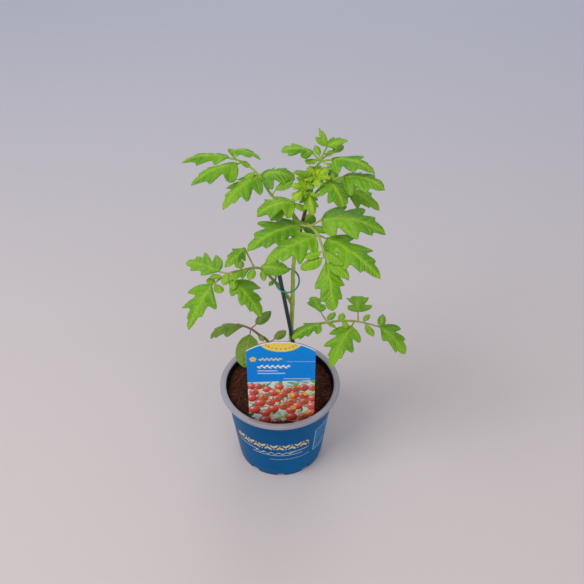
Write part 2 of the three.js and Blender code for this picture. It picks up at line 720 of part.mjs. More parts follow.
const ring = addPiece('ring_clip', new THREE.TorusGeometry(RING.radius, RING.wire, 6, 28), COLOURS.ring, 0.4);
ring.position.set(...RING.centre);
ring.rotation.x = THREE.MathUtils.degToRad(RING.tilt);

addPiece('main_stem', geometryFrom(stemSolid()), COLOURS.stem, 0.6);
Object.entries(LEAVES).forEach(([name, leaf]) => {
  addPiece(name, geometryFrom(leafSolid(leaf)), leaf.colour, 0.55);
});

export default plant;
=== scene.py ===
"""The looks of a young cherry tomato plant in a round nursery pot.

Metres, +Z up, the origin in the middle of the pot's underside, and -Y the front. The sizes in the
classes are millimetres, and they are turned to metres where a mesh is made.
"""

import logging
import math
import random
from contextlib import contextmanager
from dataclasses import dataclass, field
from enum import Enum
from typing import Iterator, Optional, Sequence

import bmesh
import bpy
import numpy as np
from mathutils import Matrix, Quaternion, Vector, noise


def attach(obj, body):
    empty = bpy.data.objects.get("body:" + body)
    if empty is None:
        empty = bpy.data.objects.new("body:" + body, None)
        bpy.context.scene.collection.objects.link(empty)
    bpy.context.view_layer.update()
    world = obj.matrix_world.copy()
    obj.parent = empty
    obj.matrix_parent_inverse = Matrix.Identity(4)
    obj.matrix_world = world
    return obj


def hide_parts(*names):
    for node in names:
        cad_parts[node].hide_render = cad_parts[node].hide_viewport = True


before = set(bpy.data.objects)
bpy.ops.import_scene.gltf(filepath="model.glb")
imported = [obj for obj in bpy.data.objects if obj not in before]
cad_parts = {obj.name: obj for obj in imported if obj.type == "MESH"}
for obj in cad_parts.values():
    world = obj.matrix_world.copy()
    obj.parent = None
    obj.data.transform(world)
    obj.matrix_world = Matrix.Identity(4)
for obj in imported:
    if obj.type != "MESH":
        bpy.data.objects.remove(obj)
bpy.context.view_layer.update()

log = logging.getLogger("tomato_plant")

Array = np.ndarray
Piece = bpy.types.Object
Material = bpy.types.Material
Socket = bpy.types.NodeSocket
Point = tuple[float, float, float]
Colour = tuple[float, float, float]
Lobe = tuple[float, float]
Outline = list[tuple[float, float]]
Face = tuple[int, ...]
Edge = tuple[Array, Array]
Half = tuple[Edge, Array]

MM = 0.001
ANY_TURN = 6.28


# ---- small helpers


def tint(colour: Colour) -> tuple[float, float, float, float]:
    """A colour given as 0 to 255 screen values, as the linear values that Blender uses.

    Args:
        colour: Red, green and blue.

    Returns:
        Red, green, blue and an alpha of 1.
    """
    shares = [value / 255 for value in colour]
    linear = [share / 12.92 if share <= 0.04045 else ((share + 0.055) / 1.055) ** 2.4 for share in shares]
    return (*linear, 1.0)


def darker(colour: Colour, share: float) -> Colour:
    """A colour with each of its values cut to a share."""
    return tuple(share * value for value in colour)


def smoothstep(value: Array, low: float, high: float) -> Array:
    """A soft step from 0 at low to 1 at high."""
    share = np.clip((value - low) / (high - low), 0, 1)
    return share * share * (3 - 2 * share)


def fade(value: Array, low: float, high: float) -> Array:
    """A soft step from 1 at low to 0 at high."""
    return 1 - smoothstep(value, low, high)


def band(value: Array, low: float, high: float, soft: float) -> Array:
    """1 between low and high and 0 outside them, with soft ends within them."""
    return smoothstep(value, low, low + soft) * fade(value, high - soft, high)


def bump(value: Array, width: float) -> Array:
    """A soft hump, 1 at 0 and low beyond a width."""
    return np.exp(-((value / width) ** 2))


def turned(across: Array, up: Array, angle: float) -> tuple[Array, Array]:
    """Places on a flat picture as they lie along and beside a line at an angle."""
    return across * math.cos(angle) + up * math.sin(angle), up * math.cos(angle) - across * math.sin(angle)


def between(ends: tuple[float, float], share: float) -> float:
    """The value at a share of the way from the first end to the second."""
    return ends[0] + (ends[1] - ends[0]) * share


def deselect() -> None:
    """Leaves nothing selected, and leaves edit mode."""
    if bpy.context.object and bpy.context.object.mode != "OBJECT":
        bpy.ops.object.mode_set(mode="OBJECT")
    bpy.ops.object.select_all(action="DESELECT")


def activate(piece: Piece) -> None:
    """Selects one piece alone and makes it the active one.

    Args:
        piece: The piece to work on.
    """
    deselect()
    piece.select_set(True)
    bpy.context.view_layer.objects.active = piece


@contextmanager
def edit_mode(select_all: bool = True) -> Iterator[None]:
    """Edit mode on the active piece, with all of it selected or only what was chosen before.

    Args:
        select_all: Whether all of it is selected.
    """
    bpy.ops.object.mode_set(mode="EDIT")
    if select_all:
        bpy.ops.mesh.select_all(action="SELECT")
    yield
    bpy.ops.object.mode_set(mode="OBJECT")


def choose(piece: Piece, kind: str, numbers: Sequence[int]) -> None:
    """Selects only these parts of a mesh, from object mode.

    Args:
        piece: The piece.
        kind: "vertices" or "edges".
        numbers: Their indices.
    """
    bpy.context.tool_settings.mesh_select_mode = (kind == "vertices", kind == "edges", False)
    for group in (piece.data.vertices, piece.data.edges, piece.data.polygons):
        group.foreach_set("select", [False] * len(group))
    for number in numbers:
        getattr(piece.data, kind)[number].select = True


def draw_out(rise: float, grown: float, level: float, flatten: int = 1) -> None:
    """Extrudes the selected ring by a rise, and resizes it about a level; a flatten of 0 makes it level."""
    bpy.ops.mesh.extrude_region_move(TRANSFORM_OT_translate={"value": (0, 0, rise * MM)})
    bpy.ops.transform.resize(value=(grown, grown, flatten), center_override=(0, 0, level * MM))


def close_ring() -> None:
    """Fills the selected ring with a fan round its middle, in edit mode."""
    bpy.ops.mesh.edge_face_add()
    bpy.ops.mesh.poke()


def face_outwards() -> None:
    """Turns every face of the piece in edit mode outwards."""
    bpy.ops.mesh.select_all(action="SELECT")
    bpy.ops.mesh.normals_make_consistent(inside=False)


def newest(name: str) -> Piece:
    """The object that an operator has just added, under its own name.

    Args:
        name: The name to give it.

    Returns:
        The object.
    """
    made = bpy.context.active_object
    made.name = name
    made.data.name = name
    return made


def add_object(name: str, data: bpy.types.ID) -> Piece:
    """Puts a mesh, a lamp or a camera in the scene.

    Args:
        name: Its name.
        data: What it shows.

    Returns:
        The object.
    """
    made = bpy.data.objects.new(name, data)
    bpy.context.scene.collection.objects.link(made)
    return made


def settle(piece: Piece) -> None:
    """Puts a piece's place, turn and scale into its mesh."""
    activate(piece)
    bpy.ops.object.transform_apply(location=True, rotation=True, scale=True)


def finish_modifiers(piece: Piece) -> None:
    """Applies every modifier of a piece in order.

    Args:
        piece: The piece that holds them.
    """
    activate(piece)
    for modifier in list(piece.modifiers):
        bpy.ops.object.modifier_apply(modifier=modifier.name)


def smooth(piece: Piece, angle: float = 40.0) -> None:
    """Shades a piece smoothly up to an angle between its faces, in degrees."""
    activate(piece)
    bpy.ops.object.shade_smooth_by_angle(angle=math.radians(angle))


def join(pieces: Sequence[Piece], name: str) -> Piece:
    """Joins pieces into the first of them.

    Args:
        pieces: The pieces.
        name: The name of the whole.

    Returns:
        The whole.
    """
    activate(pieces[0])
    for piece in pieces:
        piece.select_set(True)
    bpy.ops.object.join()
    return newest(name)


def copy_of(piece: Piece, placing: Matrix) -> Piece:
    """A copy of a piece with its own mesh, placed by a matrix.

    Args:
        piece: The piece to copy.
        placing: Where the copy goes.

    Returns:
        The copy.
    """
    twin = add_object(piece.name, piece.data.copy())
    twin.data.transform(placing)
    return twin


def thicken(piece: Piece, thickness: float, slots: int = 0) -> None:
    """Gives a flat piece a wall behind its face.

    Args:
        piece: The piece.
        thickness: The wall's thickness in millimetres.
        slots: How many material slots further on its back and its edge find theirs.
    """
    body = piece.modifiers.new("body", "SOLIDIFY")
    body.thickness, body.offset = thickness * MM, -1
    body.material_offset = body.material_offset_rim = slots
    finish_modifiers(piece)


def show(piece: Piece, slot: str, *nodes: str) -> None:
    """Rides a finished piece on the plant, and lets it stand for its CAD nodes.

    Args:
        piece: The piece.
        slot: The name of its material slot; not used.
        nodes: The CAD nodes.
    """
    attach(piece, "root")
    if nodes:
        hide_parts(*nodes)
    log.info("%s: %d faces", piece.name, len(piece.data.polygons))


def wear(piece: Piece, *materials: Material) -> None:
    """Gives a piece its materials in slot order, and keeps which face wears which.

    Args:
        piece: The piece.
        materials: One for each slot.
    """
    numbers = np.zeros(len(piece.data.polygons), dtype=np.int32)
    piece.data.polygons.foreach_get("material_index", numbers)
    piece.data.materials.clear()
    for material in materials:
        piece.data.materials.append(material)
    piece.data.polygons.foreach_set("material_index", numbers)


class Shade:
    """A material's node tree, with short calls that add and join its nodes."""

    def __init__(self, name: str, **sockets: object) -> None:
        """Makes the material and its shader.

        Args:
            name: The material's name.
            **sockets: Values set on the shader's own sockets, with _ for a space in the name.
        """
        self.material = bpy.data.materials.new(name)
        self.material.use_nodes = True
        self.tree = self.material.node_tree
        self.tree.nodes.clear()
        self.shader = self.node("ShaderNodeBsdfPrincipled")
        self.feed(self.node("ShaderNodeOutputMaterial").inputs[0], self.shader.outputs[0])
        for socket, value in sockets.items():
            self.shader.inputs[socket.replace("_", " ")].default_value = value
        self.place = self.node("ShaderNodeTexCoord").outputs["Object"]

    def node(self, kind: str, **settings: object) -> bpy.types.Node:
        """Adds a node and sets its properties.

        Args:
            kind: The type of node.
            settings: Its properties.

        Returns:
            The node.
        """
        made = self.tree.nodes.new(kind)
        for name, value in settings.items():
            setattr(made, name, value)
        return made

    def feed(self, socket: Socket, value: object) -> None:
        """Joins a socket to another node's output, or sets it to a plain value.

        Args:
            socket: The input.
            value: An output or a value.
        """
        if isinstance(value, Socket):
            self.tree.links.new(value, socket)
        else:
            socket.default_value = value

    def sum(self, kind: str, *values: object, clamp: bool = False) -> Socket:
        """A Math node of a kind, such as MULTIPLY.

        Args:
            kind: The operation.
            clamp: Whether it stays in 0 to 1.
            values: What it works on.

        Returns:
            The result.
        """
        made = self.node("ShaderNodeMath", operation=kind, use_clamp=clamp)
        for socket, value in zip(made.inputs, values):
            self.feed(socket, value)
        return made.outputs[0]

    def step(self, value: Socket, low: float, high: float, start: float = 0, end: float = 1) -> Socket:
        """A soft step of a value, from start at low to end at high.

        Args:
            value: The value.
            low: Where it starts.
            high: Where it ends.
            start: The result at low.
            end: The result at high.

        Returns:
            The result.
        """
        made = self.node("ShaderNodeMapRange", interpolation_type="SMOOTHSTEP")
        for socket, given in zip(made.inputs, (value, low, high, start, end)):
            self.feed(socket, given)
        return made.outputs[0]

    def mix(self, share: Socket, first: object, second: object) -> Socket:
        """A mix of two colours, each a node's output or 0 to 255 values, by a share.

        Args:
            share: The share of the second.
            first: One colour.
            second: The other.

        Returns:
            The mixed colour.
        """
        made = self.node("ShaderNodeMix", data_type="RGBA")
        self.feed(made.inputs[0], share)
        for socket, value in ((made.inputs[6], first), (made.inputs[7], second)):
            self.feed(socket, value if isinstance(value, Socket) else tint(value))
        return made.outputs[2]

    def grain(self, scale: float, detail: int = 3, rough: float = 0.5, squeeze: Point = (1, 1, 1)) -> Socket:
        """A noise in the piece's own place, squeezed along its axes.

        Args:
            scale: How fine it is.
            detail: Its octaves.
            rough: How strong the finest are.
            squeeze: The scale along each axis.

        Returns:
            The noise, 0 to 1.
        """
        mapping = self.node("ShaderNodeMapping")
        self.feed(mapping.inputs["Vector"], self.place)
        self.feed(mapping.inputs["Scale"], squeeze)
        made = self.node("ShaderNodeTexNoise")
        values = (mapping.outputs[0], scale, detail, rough)
        for name, value in zip(("Vector", "Scale", "Detail", "Roughness"), values):
            self.feed(made.inputs[name], value)
        return made.outputs[0]

    def cells(self, scale: float) -> Socket:
        """The distance to the nearest wall of a cell pattern in the piece's own place.

        Args:
            scale: How fine the cells are.

        Returns:
            The distance.
        """
        made = self.node("ShaderNodeTexVoronoi", feature="DISTANCE_TO_EDGE")
        self.feed(made.inputs["Vector"], self.place)
        self.feed(made.inputs["Scale"], scale)
        return made.outputs["Distance"]

    def split(self, kind: str, value: Socket) -> Sequence[Socket]:
        """The parts of a colour or of a place.

        Args:
            kind: The node that splits it.
            value: The colour or place.

        Returns:
            One output for each.
        """
        made = self.node(kind)
        self.feed(made.inputs[0], value)
        return made.outputs

    def attribute(self, name: str) -> bpy.types.Node:
        """A colour attribute of the mesh."""
        return self.node("ShaderNodeAttribute", attribute_name=name)

    def finished(self, colour: Socket, roughness: Socket, *bumps: tuple[Socket, float, float]) -> Material:
        """Joins up the shader.

        Args:
            colour: The base colour.
            roughness: The roughness.
            *bumps: The height, strength and depth in millimetres of each bump, from the lowest up.

        Returns:
            The finished material.
        """
        normal = None
        for height, strength, depth in bumps:
            made = self.node("ShaderNodeBump")
            for name, value in (("Strength", strength), ("Distance", depth * MM), ("Height", height)):
                self.feed(made.inputs[name], value)
            if normal is not None:
                self.feed(made.inputs["Normal"], normal)
            normal = made.outputs[0]
        for name, value in (("Base Color", colour), ("Roughness", roughness), ("Normal", normal)):
            self.feed(self.shader.inputs[name], value)
        return self.material


# ---- finishes


@dataclass(frozen=True)
class PlasticFinish:
    """Thin moulded plastic with a faint grain and light scuffs."""

    name: str
    colour: Colour
    deep: Colour
    gloss: float = 0.36
    shine: float = 0.4
    scuffs: float = 0.14
    scuffed: Colour = (205, 208, 216)

    def material(self) -> Material:
        """Makes the material.

        Returns:
            The material.
        """
        shade = Shade(self.name, Specular_IOR_Level=self.shine)
        cloud = shade.grain(16, 4, 0.6)
        scuff = shade.step(shade.grain(230, 5, 0.7, (1, 1, 0.25)), 0.55, 0.78)
        body = shade.mix(shade.step(cloud, 0.3, 0.72), self.deep, self.colour)
        return shade.finished(
            shade.mix(shade.sum("MULTIPLY", scuff, self.scuffs), body, self.scuffed),
            shade.step(cloud, 0.25, 0.75, self.gloss - 0.05, self.gloss + 0.1),
            (shade.grain(420, 2), 0.12, 0.25),
            (cloud, 0.2, 1.2),
        )


@dataclass(frozen=True)
class PrintFinish:
    """A printed ink that is slightly worn."""

    name: str
    colour: Colour

    def material(self) -> Material:
        """Makes the material.

        Returns:
            The material.
        """
        shade = Shade(self.name, Specular_IOR_Level=0.15)
        worn = shade.step(shade.grain(650, 4, 0.7), 0.5, 0.75)
        return shade.finished(
            shade.mix(shade.sum("MULTIPLY", worn, 0.6), self.colour, darker(self.colour, 0.72)),
            shade.step(worn, 0, 1, 0.38, 0.55),
            (shade.grain(900, 2), 0.1, 0.1),
        )


@dataclass(frozen=True)
class PictureFinish:
    """The glossy printed face of the plant label, painted from the mesh's own colours."""

    name: str = "label_picture"
    speck: Colour = (10, 20, 60)

    def material(self) -> Material:
        """Makes the material.

        Returns:
            The material.
        """
        shade = Shade(self.name, Specular_IOR_Level=0.12)
        dots = shade.step(shade.grain(1500, 2), 0.35, 0.65)
        ink = shade.attribute("print").outputs["Color"]
        return shade.finished(
            shade.mix(shade.sum("MULTIPLY", dots, 0.1), ink, self.speck),
            shade.step(shade.grain(60, 3), 0.3, 0.7, 0.26, 0.4),
            (shade.grain(45, 2), 0.12, 1.0),
        )


@dataclass(frozen=True)
class PeatFinish:
    """Moist fibrous peat."""

    name: str
    dark: Colour
    light: Colour
    fibre: Colour = (150, 84, 44)

    def material(self) -> Material:
        """Makes the material.

        Returns:
            The material.
        """
        shade = Shade(self.name, Specular_IOR_Level=0.25)
        coarse = shade.grain(260, 5, 0.7)
        fibre = shade.step(shade.grain(900, 4, 0.75, (1, 0.3, 1)), 0.52, 0.72)
        base = shade.mix(shade.step(coarse, 0.35, 0.68), self.dark, self.light)
        return shade.finished(
            shade.mix(shade.sum("MULTIPLY", fibre, 0.35), base, self.fibre),
            shade.step(coarse, 0.3, 0.7, 0.75, 0.95),
            (shade.grain(700, 5, 0.75), 0.8, 0.8),
            (coarse, 0.9, 2.0),
        )


@dataclass(frozen=True)
class CaneFinish:
    """Dark green dipped bamboo, glossy, with a fine grain along it."""

    name: str = "cane_green"
    dark: Colour = (0, 38, 38)
    light: Colour = (4, 60, 56)
    patch: Colour = (12, 78, 70)

    def material(self) -> Material:
        """Makes the material.

        Returns:
            The material.
        """
        shade = Shade(self.name, Specular_IOR_Level=0.5, Coat_Weight=0.3, Coat_Roughness=0.2)
        grain = shade.grain(900, 4, 0.6, (1, 1, 0.06))
        base = shade.mix(shade.step(grain, 0.35, 0.65), self.dark, self.light)
        return shade.finished(
            shade.mix(shade.step(shade.grain(40, 3, 0.6), 0.5, 0.75, 0, 0.5), base, self.patch),
            shade.step(grain, 0.3, 0.7, 0.28, 0.45),
            (grain, 0.35, 0.3),
        )


@dataclass(frozen=True)
class StalkFinish:
    """A downy green stalk with streaks along it, and a darker shade in patches and over one stretch."""

    name: str
    green: Colour
    streak: Colour
    shadow: Colour
    dark_from: float = 0.0
    dark_to: float = 0.0
    patches: float = 0.55
    fade: float = 14.0

    def material(self) -> Material:
        """Makes the material.

        Returns:
            The material.
        """
        shade = Shade(
            self.name, Specular_IOR_Level=0.3, Subsurface_Weight=0.12, Subsurface_Scale=0.0012,
            Sheen_Weight=0.25, Sheen_Roughness=0.45,
        )
        streaks = shade.grain(1500, 3, 0.6, (1, 1, 0.12))
        patch = shade.grain(95, 3, 0.6)
        base = shade.mix(shade.step(streaks, 0.35, 0.7), self.green, self.streak)
        share = shade.step(patch, 0.35, 0.7, 0, self.patches)
        if self.dark_to:
            height = shade.split("ShaderNodeSeparateXYZ", shade.place)[2]
            rise = shade.step(height, self.dark_from * MM, (self.dark_from + self.fade) * MM)
            fall = shade.step(height, (self.dark_to - self.fade) * MM, self.dark_to * MM, 1, 0)
            share = shade.sum("ADD", shade.sum("MULTIPLY", rise, fall), share, clamp=True)
        return shade.finished(
            shade.mix(share, base, self.shadow),
            shade.step(patch, 0.3, 0.7, 0.5, 0.68),
            (shade.grain(2600, 2), 0.3, 0.15),
            (streaks, 0.4, 0.25),
        )


@dataclass(frozen=True)
class BladeFinish:
    """A leaf's skin: pale veins, a fine net between them, a paler underside and a soft down."""

    name: str
    light: Colour
    deep: Colour
    vein: Colour
    under: Colour
    heart: Optional[Colour] = None
    heart_width: float = 3.0
    vein_share: float = 0.28
    vein_width: float = 0.26
    rib_share: float = 0.58
    rib_width: float = 0.36

    def material(self) -> Material:
        """Makes the material.

        Returns:
            The material.
        """
        shade = Shade(
            self.name, Specular_IOR_Level=0.32, Sheen_Weight=0.06, Sheen_Roughness=0.3,
            Subsurface_Weight=0.2, Subsurface_Scale=0.0008, Subsurface_Radius=(0.6, 1.0, 0.15),
        )
        marks = shade.attribute("veins")
        rib, side, edge = shade.split("ShaderNodeSeparateColor", marks.outputs["Color"])
        mottle = shade.grain(420, 4, 0.6)
        net = shade.cells(520)
        skin = shade.mix(shade.step(shade.grain(38, 3, 0.55), 0.32, 0.68), self.deep, self.light)
        if self.heart:
            skin = shade.mix(shade.step(rib, 0.4, self.heart_width, 0.9, 0), skin, self.heart)
        skin = shade.mix(shade.step(mottle, 0.42, 0.75, 0, 0.35), skin, darker(self.deep, 0.78))
        skin = shade.mix(shade.step(net, 0.0, 0.09, 0.28, 0), skin, self.vein)
        on_side = shade.step(side, 0.35 * self.vein_width, 1.6 * self.vein_width, self.vein_share, 0)
        on_rib = shade.step(rib, 0.4 * self.rib_width, 1.5 * self.rib_width, self.rib_share, 0)
        on_vein = shade.sum("MAXIMUM", on_side, on_rib)
        skin = shade.mix(on_vein, skin, self.vein)
        skin = shade.mix(shade.step(edge, 0.1, 0.7, 0.3, 0), skin, darker(self.deep, 0.85))
        return shade.finished(
            shade.mix(marks.outputs["Alpha"], skin, self.under),
            shade.step(mottle, 0.3, 0.7, 0.32, 0.5),
            (shade.step(net, 0, 0.2), 0.35, 0.3),
            (on_vein, -0.4, 0.4),
            (mottle, 0.2, 0.4),
        )


@dataclass(frozen=True)
class FloorFinish:
    """Plain pale paper with painted light on it: warmer near the front, cooler and a little darker towards
    the back.
    """

    name: str = "studio_paper"
    # painted light: near is the warm colour painted at the front, far the cooler, darker colour painted at
    # the back
    near: Colour = (222, 211, 210)
    far: Colour = (206, 206, 220)

    def material(self) -> Material:
        """Makes the material.

        Returns:
            The material.
        """
        shade = Shade(self.name, Specular_IOR_Level=0.15)
        # painted light: the colour goes from the warm near colour to the cooler, darker far colour towards
        # the back
        away = shade.step(shade.split("ShaderNodeSeparateXYZ", shade.place)[1], -0.25, 1.3)
        return shade.finished(
            shade.mix(away, self.near, self.far),
            shade.step(shade.grain(3, 3), 0.3, 0.7, 0.75, 0.9),
            (shade.grain(300, 3), 0.04, 0.5),
        )


# ---- tubes


def stalk_curve(points: Sequence[Point], count: int) -> Array:
    """Points along the smooth curve through a stalk's points.

    Args:
        points: The points that the curve goes through.
        count: How many points to give.

    Returns:
        An array with a row for each point.
    """
    rail = [Vector(point) for point in points]
    rail = [2 * rail[0] - rail[1], *rail, 2 * rail[-1] - rail[-2]]
    spans = len(points) - 1
    rows = []
    for share in np.linspace(0, spans, count):
        span = min(int(share), spans - 1)
        t = share - span
        a, b, c, d = rail[span : span + 4]
        rows.append(
            0.5 * (2 * b + (c - a) * t + (2 * a - 5 * b + 4 * c - d) * t * t + (3 * b - a - 3 * c + d) * t**3)
        )
    return np.array(rows)


def point_on_stalk(points: Sequence[Point], at: float) -> Vector:
    """The point of a stalk at a count along its points, such as 2.5."""
    fine = 20
    return Vector(stalk_curve(points, (len(points) - 1) * fine + 1)[round(at * fine)])


@dataclass
class MeshParts:
    """Vertices and faces that are gathered for one piece, with a material number for each face."""

    vertices: list[Array] = field(default_factory=list)
    faces: list[Face] = field(default_factory=list)
    marks: list[Array] = field(default_factory=list)
    dresses: list[int] = field(default_factory=list)
    count: int = 0

    def add(self, vertices: Array, faces: Sequence[Face], dress: int, marks: Optional[Array] = None) -> None:
        """Adds a closed shell.

        Args:
            vertices: Its vertices in millimetres, one row each.
            faces: Its faces, counted from its own first vertex.
            dress: The material slot of its faces.
            marks: Four values for each vertex, for the "veins" attribute.
        """
        self.vertices.append(vertices)
        self.marks.append(np.full((len(vertices), 4), 9.0) if marks is None else marks)
        self.faces.extend(tuple(corner + self.count for corner in face) for face in faces)
        self.dresses.extend([dress] * len(faces))
        self.count += len(vertices)

    def tube(self, line: Array, radii: Array, sides: int, dress: int, ripple: float = 0.0) -> None:
        """Adds a closed tube along a line.

        Args:
            line: The points of its centre line in millimetres.
            radii: The radius at each point.
            sides: How many sides it has.
            dress: The material slot of its faces.
            ripple: How uneven its skin is, as a share of the radius.
        """
        tangents = np.gradient(line, axis=0)
        tangents /= np.linalg.norm(tangents, axis=1)[:, None]
        across = Vector(tangents[0]).orthogonal().normalized()
        last = Vector(tangents[0])
        rows = []
        for tangent, centre, radius in zip(tangents, line, radii):
            along, middle = Vector(tangent), Vector(centre)
            across.rotate(last.rotation_difference(along))
            across = (across - along * across.dot(along)).normalized()
            up = along.cross(across)
            last = along
            for side in range(sides):
                angle = 2 * math.pi * side / sides
                spoke = across * math.cos(angle) + up * math.sin(angle)
                uneven = 1 + ripple * noise.noise(middle * 0.35 + spoke * 1.7)
                rows.append(middle + spoke * (radius * uneven))
        end = (len(line) - 1) * sides
        faces = []
        for ring in range(0, end, sides):
            for side in range(sides):
                a, b = ring + side, ring + (side + 1) % sides
                faces.append((a, b, b + sides, a + sides))
        start_hub = len(rows)
        for side in range(sides):
            following = (side + 1) % sides
            faces += [(start_hub, following, side), (start_hub + 1, end + side, end + following)]
        self.add(np.array([*rows, line[0], line[-1]]), faces, dress)

    def piece(self, name: str, marked: bool = False) -> Piece:
        """Makes the object, with its place in its mesh, and with its "veins" if it is marked.

        Args:
            name: Its name.
            marked: Whether it gets its veins.

        Returns:
            The object.
        """
        mesh = bpy.data.meshes.new(name)
        mesh.from_pydata((np.vstack(self.vertices) * MM).tolist(), [], self.faces)
        mesh.polygons.foreach_set("material_index", self.dresses)
        mesh.polygons.foreach_set("use_smooth", [True] * len(self.faces))
        if marked:
            layer = mesh.attributes.new("veins", "FLOAT_COLOR", "POINT")
            layer.data.foreach_set("color", np.vstack(self.marks).astype(np.float32).ravel())
        mesh.update()
        return add_object(name, mesh)


def add_hair(
    parts: MeshParts, line: Array, share: float, radii: tuple[float, float], dress: int, draw: random.Random
) -> None:
    """Adds one short hair on a stalk.

    Args:
        parts: What the mesh is gathered in.
        line: The stalk's centre line.
        share: How far along it the hair stands.
        radii: The stalk's radius at its foot and at its tip.
        dress: The material slot of the hair.
        draw: Where its turn, lean and length are drawn from.
    """
    last = len(line) - 1
    index = min(int(share * last), last - 1)
    along = (Vector(line[index + 1]) - Vector(line[index])).normalized()
    across = along.orthogonal().normalized()
    across.rotate(Quaternion(along, draw.uniform(0, ANY_TURN)))
    root = Vector(line[index]) + across * (between(radii, share) - 0.15)
    tip = root + across * draw.uniform(0.6, 1.1) + along * draw.uniform(-0.25, 0.35)
    parts.tube(np.array([root, (root + tip) / 2, tip]), np.array([0.06, 0.045, 0.015]), 4, dress)


# ---- leaves


class LeafAge(Enum):
    """How old a leaf is, which sets its skin."""

    MATURE = "leaf"
    FRESH = "fresh_leaf"
    OLD = "old_leaf"
    YOUNG = "young_leaf"

    @property
    def slot(self) -> str:
        """The record's material slot for this skin."""
        return "leaf" if self is LeafAge.FRESH else self.value


class StalkTone(Enum):
    """The colour of a leaf's stalks."""

    BROWN = "stalk_brown"
    OLIVE = "stalk_olive"
    GREEN = "stalk_green"
    FRESH = "stalk_fresh"


@dataclass(frozen=True)
class Waves:
    """How one blade's face and edge wave, as drawn at random for it."""

    count: float
    start: float
    teeth: float
    fold: float


